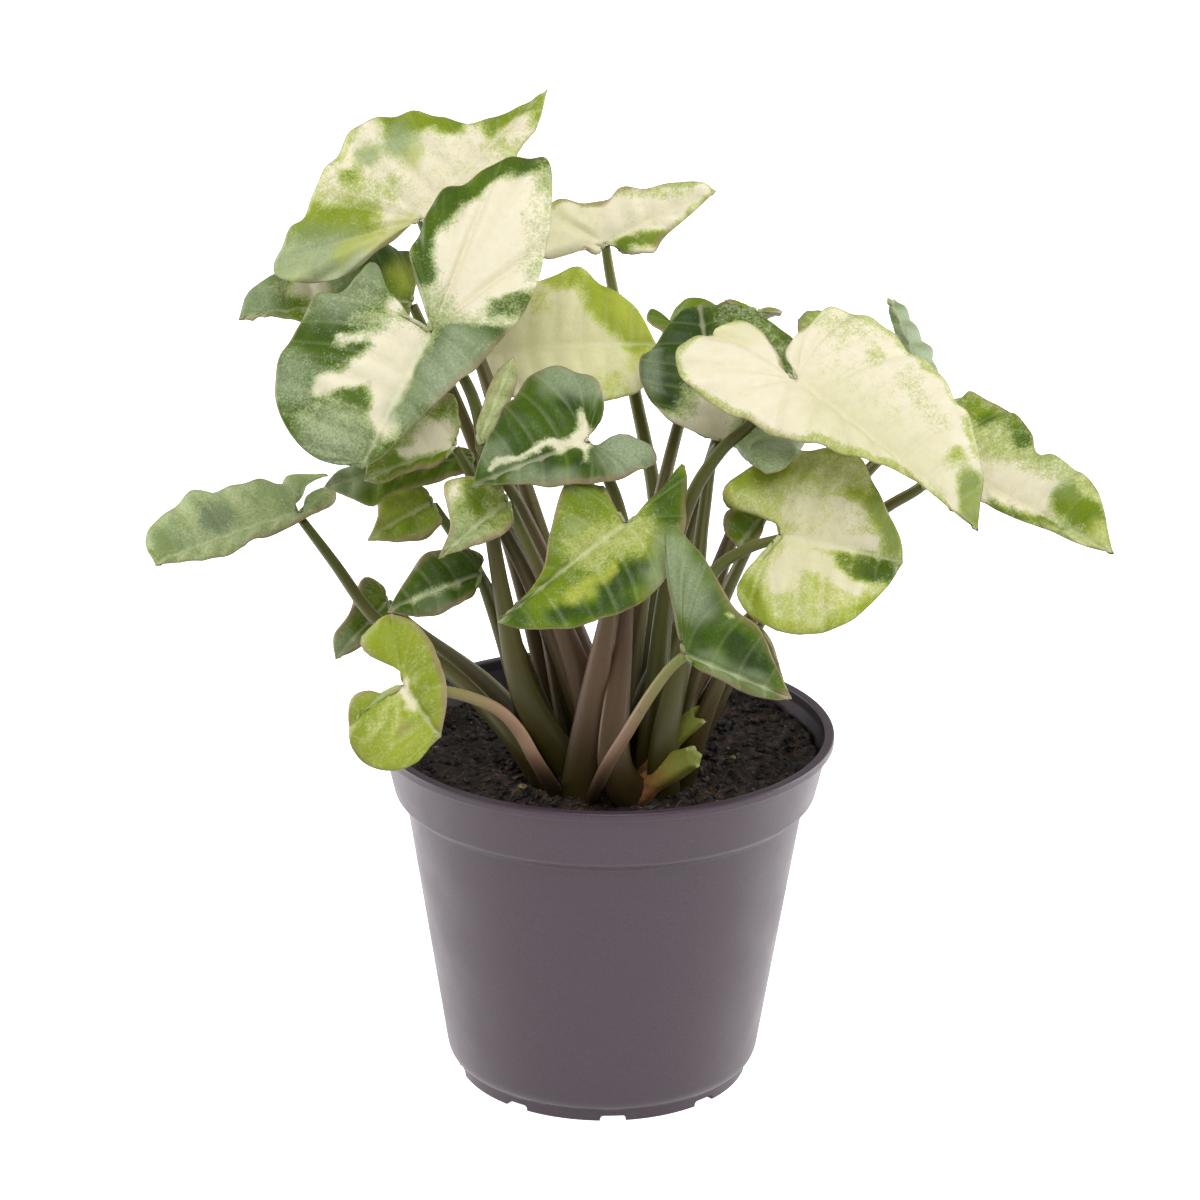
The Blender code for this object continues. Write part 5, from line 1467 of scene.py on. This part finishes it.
def build_crumbs(material):
    """Scatter crumbs, flakes of bark and root fibres on the soil."""
    own = random.Random(7)
    surface = bmesh.new()
    shades = []
    placed = 0
    while placed < CRUMB_COUNT:
        reach = (SOIL_RADIUS - 2.0) * math.sqrt(own.random())
        angle = own.uniform(0.0, math.tau)
        x, y = reach * math.cos(angle), reach * math.sin(angle)
        if from_clump(x, y) < CRUMB_FREE_RADIUS:
            continue
        placed += 1
        bark = own.random() < BARK_SHARE
        size = own.uniform(0.9, 1.6) if bark else 0.35 + 0.95 * own.random() ** 2
        squash = (own.uniform(0.8, 1.5), own.uniform(0.6, 1.0), own.uniform(0.3, 0.6) if bark else 0.75)
        turn = Matrix.Rotation(own.uniform(0.0, math.tau), 3, "Z") @ Matrix.Rotation(
            own.uniform(-0.5, 0.5), 3, "X")
        fineness = 2 if size > 0.6 else 1
        ball = bmesh.ops.create_icosphere(surface, subdivisions=fineness, radius=size)["verts"]
        seed = Vector((own.uniform(0, 99), own.uniform(0, 99), own.uniform(0, 99)))
        centre = Vector((x, y, soil_height(x, y) + 0.25 * size))
        for vert in ball:
            knob = 1.0 + 0.9 * noise.noise(vert.co / (0.6 * size) + seed)
            shape = Vector(vert.co[i] * squash[i] for i in range(3)) * knob
            vert.co = centre + turn @ shape
        shade = own.uniform(0.5, 0.85) if bark else 0.8 * own.random() ** 1.5
        if own.random() < PALE_CRUMB_SHARE:
            shade = 1.0
        shades += [shade] * len(ball)
    for _ in range(FIBRE_COUNT):
        reach = (SOIL_RADIUS - 6.0) * math.sqrt(own.random())
        angle = own.uniform(0.0, math.tau)
        heading = own.uniform(0.0, math.tau)
        length = own.uniform(3.0, 7.0)
        knots = []
        for k in range(5):
            bend = heading + 0.15 * math.sin(k + angle)
            x = reach * math.cos(angle) + length * (k / 4 - 0.5) * math.cos(bend)
            y = reach * math.sin(angle) + length * (k / 4 - 0.5) * math.sin(bend)
            if math.hypot(x, y) > SOIL_RADIUS - 1.5:
                x, y = x * 0.9, y * 0.9
            knots.append(Vector((x, y, soil_height(x, y) + 0.35)))
        thin = own.uniform(0.12, 0.24)
        rings = rings_along(smooth_route(knots, 12), FIBRE_SIDES,
                            lambda share, travelled, turned: (thin, thin), Vector((0.0, 0.0, 1.0)))
        skin_rings(surface, rings)
        shades += [own.uniform(0.5, 0.8)] * (FIBRE_SIDES * len(rings))
    bmesh.ops.scale(surface, vec=(MM, MM, MM), verts=surface.verts)
    mesh = bpy.data.meshes.new("soil_crumbs")
    surface.to_mesh(mesh)
    surface.free()
    add_attribute(mesh, "own_shade", shades)
    mesh.materials.append(material)
    show(bpy.data.objects.new("soil_crumbs", mesh))


def rounded(corners, steps=4):
    """Round a section's corners, each by its own amount."""
    result = []
    for k, (radius, height, rounding) in enumerate(corners):
        here = Vector((radius, height))
        if rounding <= 0.0:
            result.append(here)
            continue
        before = Vector(corners[k - 1][:2]) - here
        after = Vector(corners[k + 1][:2]) - here
        start = here + before.normalized() * min(rounding, 0.45 * before.length)
        stop = here + after.normalized() * min(rounding, 0.45 * after.length)
        for i in range(steps + 1):
            t = i / steps
            result.append(start * (1 - t) ** 2 + here * 2 * t * (1 - t) + stop * t * t)
    return result


def pot_section():
    """The pot's section, each corner with its rounding, up the inside and down the outside."""
    lip_low = POT_HEIGHT - LIP_DEPTH
    return rounded([
        (0.0, FLOOR_TOP, 0.0),
        (WALL_LOW_RADIUS - WALL_THICKNESS, FLOOR_TOP, 2.0),
        (WALL_TOP_RADIUS - WALL_THICKNESS, WALL_TOP_HEIGHT + 0.6, 0.6),
        (COLLAR_LOW_RADIUS - WALL_THICKNESS, COLLAR_LOW_HEIGHT + 0.6, 0.6),
        (RIM_RADIUS - LIP_WIDTH, lip_low - 0.6, 0.5),
        (RIM_RADIUS - LIP_WIDTH, POT_HEIGHT, 0.5),
        (RIM_RADIUS, POT_HEIGHT, 0.7),
        (RIM_RADIUS, lip_low, 0.3),
        (COLLAR_TOP_RADIUS, lip_low - 0.4, 0.25),
        (COLLAR_LOW_RADIUS, COLLAR_LOW_HEIGHT, 0.8),
        (WALL_TOP_RADIUS, WALL_TOP_HEIGHT, 0.3),
        (WALL_LOW_RADIUS, WALL_LOW_HEIGHT, 2.6),
        (FOOT_RADIUS, WALL_LOW_HEIGHT - 1.9, 0.4),
        (FOOT_RADIUS, 0.0, 0.5),
        (FOOT_RADIUS - FOOT_WIDTH, 0.0, 0.5),
        (FOOT_RADIUS - FOOT_WIDTH, FLOOR_UNDERSIDE, 0.4),
        (0.0, FLOOR_UNDERSIDE, 0.0),
    ])


def build_pot(material):
    """Make the pot: a turned section with the gaps between its feet and its drain holes cut out."""
    mesh = bpy.data.meshes.new("pot_section")
    corners = [(point.x * MM, 0.0, point.y * MM) for point in pot_section()]
    mesh.from_pydata(corners, [(i, i + 1) for i in range(len(corners) - 1)], [])
    blank = bpy.data.objects.new("pot_section", mesh)
    bpy.context.scene.collection.objects.link(blank)
    screw = blank.modifiers.new("turn", "SCREW")
    screw.steps = POT_STEPS
    screw.render_steps = POT_STEPS
    screw.use_merge_vertices = True
    screw.merge_threshold = SCREW_MERGE
    screw.use_smooth_shade = True
    cutters = bmesh.new()
    for k in range(FOOT_GAPS):
        block = bmesh.ops.create_cube(cutters, size=MM)["verts"]
        bmesh.ops.scale(cutters, vec=(3 * FOOT_WIDTH, FOOT_GAP_WIDTH, 2 * FOOT_GAP_HEIGHT), verts=block)
        edges = [edge for edge in {e for vert in block for e in vert.link_edges}
                 if abs(edge.verts[0].co.x - edge.verts[1].co.x) > MM]
        made = bmesh.ops.bevel(cutters, geom=edges, offset=CUTTER_ROUNDING * MM, segments=3,
                               profile=0.5, affect="EDGES")
        block = list({vert for face in made["faces"] for vert in face.verts}
                     | {vert for vert in block if vert.is_valid})
        turn = Matrix.Rotation(math.radians(FIRST_GAP_ANGLE + 360.0 * k / FOOT_GAPS), 4, "Z")
        place = turn @ Matrix.Translation(((FOOT_RADIUS - FOOT_WIDTH / 2) * MM, 0.0, 0.0))
        bmesh.ops.transform(cutters, matrix=place, verts=block)
    for k in range(DRAIN_HOLES):
        turn = Matrix.Rotation(math.tau * (k + 0.5) / DRAIN_HOLES, 4, "Z")
        place = turn @ Matrix.Translation((DRAIN_RING_RADIUS * MM, 0.0, FLOOR_TOP * MM))
        bmesh.ops.create_cone(cutters, cap_ends=True, segments=32, radius1=DRAIN_HOLE_RADIUS * MM,
                              radius2=DRAIN_HOLE_RADIUS * MM, depth=DRAIN_CUTTER_LENGTH * MM,
                              matrix=place)
    tool_mesh = bpy.data.meshes.new("pot_cutters")
    cutters.to_mesh(tool_mesh)
    cutters.free()
    tool = bpy.data.objects.new("pot_cutters", tool_mesh)
    bpy.context.scene.collection.objects.link(tool)
    cut = blank.modifiers.new("gaps", "BOOLEAN")
    cut.operation = "DIFFERENCE"
    cut.object = tool
    shape = finished_mesh(blank)
    shape.name = "pot_shell"
    bpy.data.objects.remove(blank)
    bpy.data.objects.remove(tool)
    shape.materials.clear()
    shape.materials.append(material)
    # Only the wall's inside is drawn darker. It faces the pot's axis, above the floor.
    inner_wall_dark = []
    for vert in shape.vertices:
        outward = Vector((vert.co.x, vert.co.y, 0.0)).normalized().dot(vert.normal)
        above_floor = vert.co.z > FLOOR_TOP * MM
        inner_wall_dark.append(INNER_WALL_DARKENING * smoothly(-0.3, -0.8, outward) if above_floor else 0.0)
    add_attribute(shape, "inner_wall_dark", inner_wall_dark)
    shape.set_sharp_from_angle(angle=SHARP_ANGLE)
    show(bpy.data.objects.new("pot_shell", shape), "nursery_pot")


def build_studio():
    """Lay the white floor, light it softly and set the camera at the photograph's angle."""
    scene = bpy.context.scene
    scene.view_settings.view_transform = "Standard"
    floor = bmesh.new()
    bmesh.ops.create_grid(floor, x_segments=1, y_segments=1, size=FLOOR_HALF_SIZE)
    mesh = bpy.data.meshes.new("studio_floor")
    floor.to_mesh(mesh)
    floor.free()
    mesh.materials.append(studio_material())
    ground = bpy.data.objects.new("studio_floor", mesh)
    scene.collection.objects.link(ground)
    # The paper's glow shows in the pot's gloss but doesn't light the plant from below.
    ground.visible_diffuse = False
    world = bpy.data.worlds.new("white_studio")
    world.use_nodes = True
    world.node_tree.nodes["Background"].inputs["Color"].default_value = (1.0, 1.0, 1.0, 1.0)
    world.node_tree.nodes["Background"].inputs["Strength"].default_value = WORLD_LIGHT
    scene.world = world
    for name, place, aim, size, power in LIGHTS:
        lamp = bpy.data.lights.new(name, "AREA")
        lamp.shape = "DISK"
        lamp.size = size
        lamp.energy = power
        item = bpy.data.objects.new(name, lamp)
        item.location = place
        item.rotation_euler = (Vector(aim) - Vector(place)).to_track_quat("-Z", "Y").to_euler()
        scene.collection.objects.link(item)
    camera = bpy.data.cameras.new("front_camera")
    camera.sensor_width = SENSOR_WIDTH
    camera.lens = SENSOR_WIDTH * VIEW_DISTANCE / VIEW_WIDTH
    camera.clip_end = 20.0
    eye = bpy.data.objects.new("front_camera", camera)
    facing = Matrix((VIEW_RIGHT, VIEW_UP, VIEW_TOWARD)).transposed().to_4x4()
    place = Matrix.Translation((VIEW_CENTRE + VIEW_TOWARD * VIEW_DISTANCE) * MM)
    eye.matrix_world = place @ facing @ Matrix.Rotation(VIEW_ROLL, 4, "Z")
    scene.collection.objects.link(eye)
    scene.camera = eye


def build_plant():
    """Make the leaves, each with its stalk, and the old stalk's stump."""
    upper_skin = leaf_material("waxy_leaf_upper_side", False)
    under_skin = leaf_material("dull_leaf_underside", True)
    stalk_skin = stalk_material()
    noise.seed_set(PATCH_SEED)
    for name, leaf in LEAVES.items():
        joint, normal = build_blade(name, leaf, LOOKS[name], upper_skin, under_skin)
        build_stalk(name, leaf, joint, normal, stalk_skin)
    build_stump(stump_material())


build_plant()
build_soil(soil_material())
build_crumbs(crumb_material())
build_pot(pot_material())
build_studio()
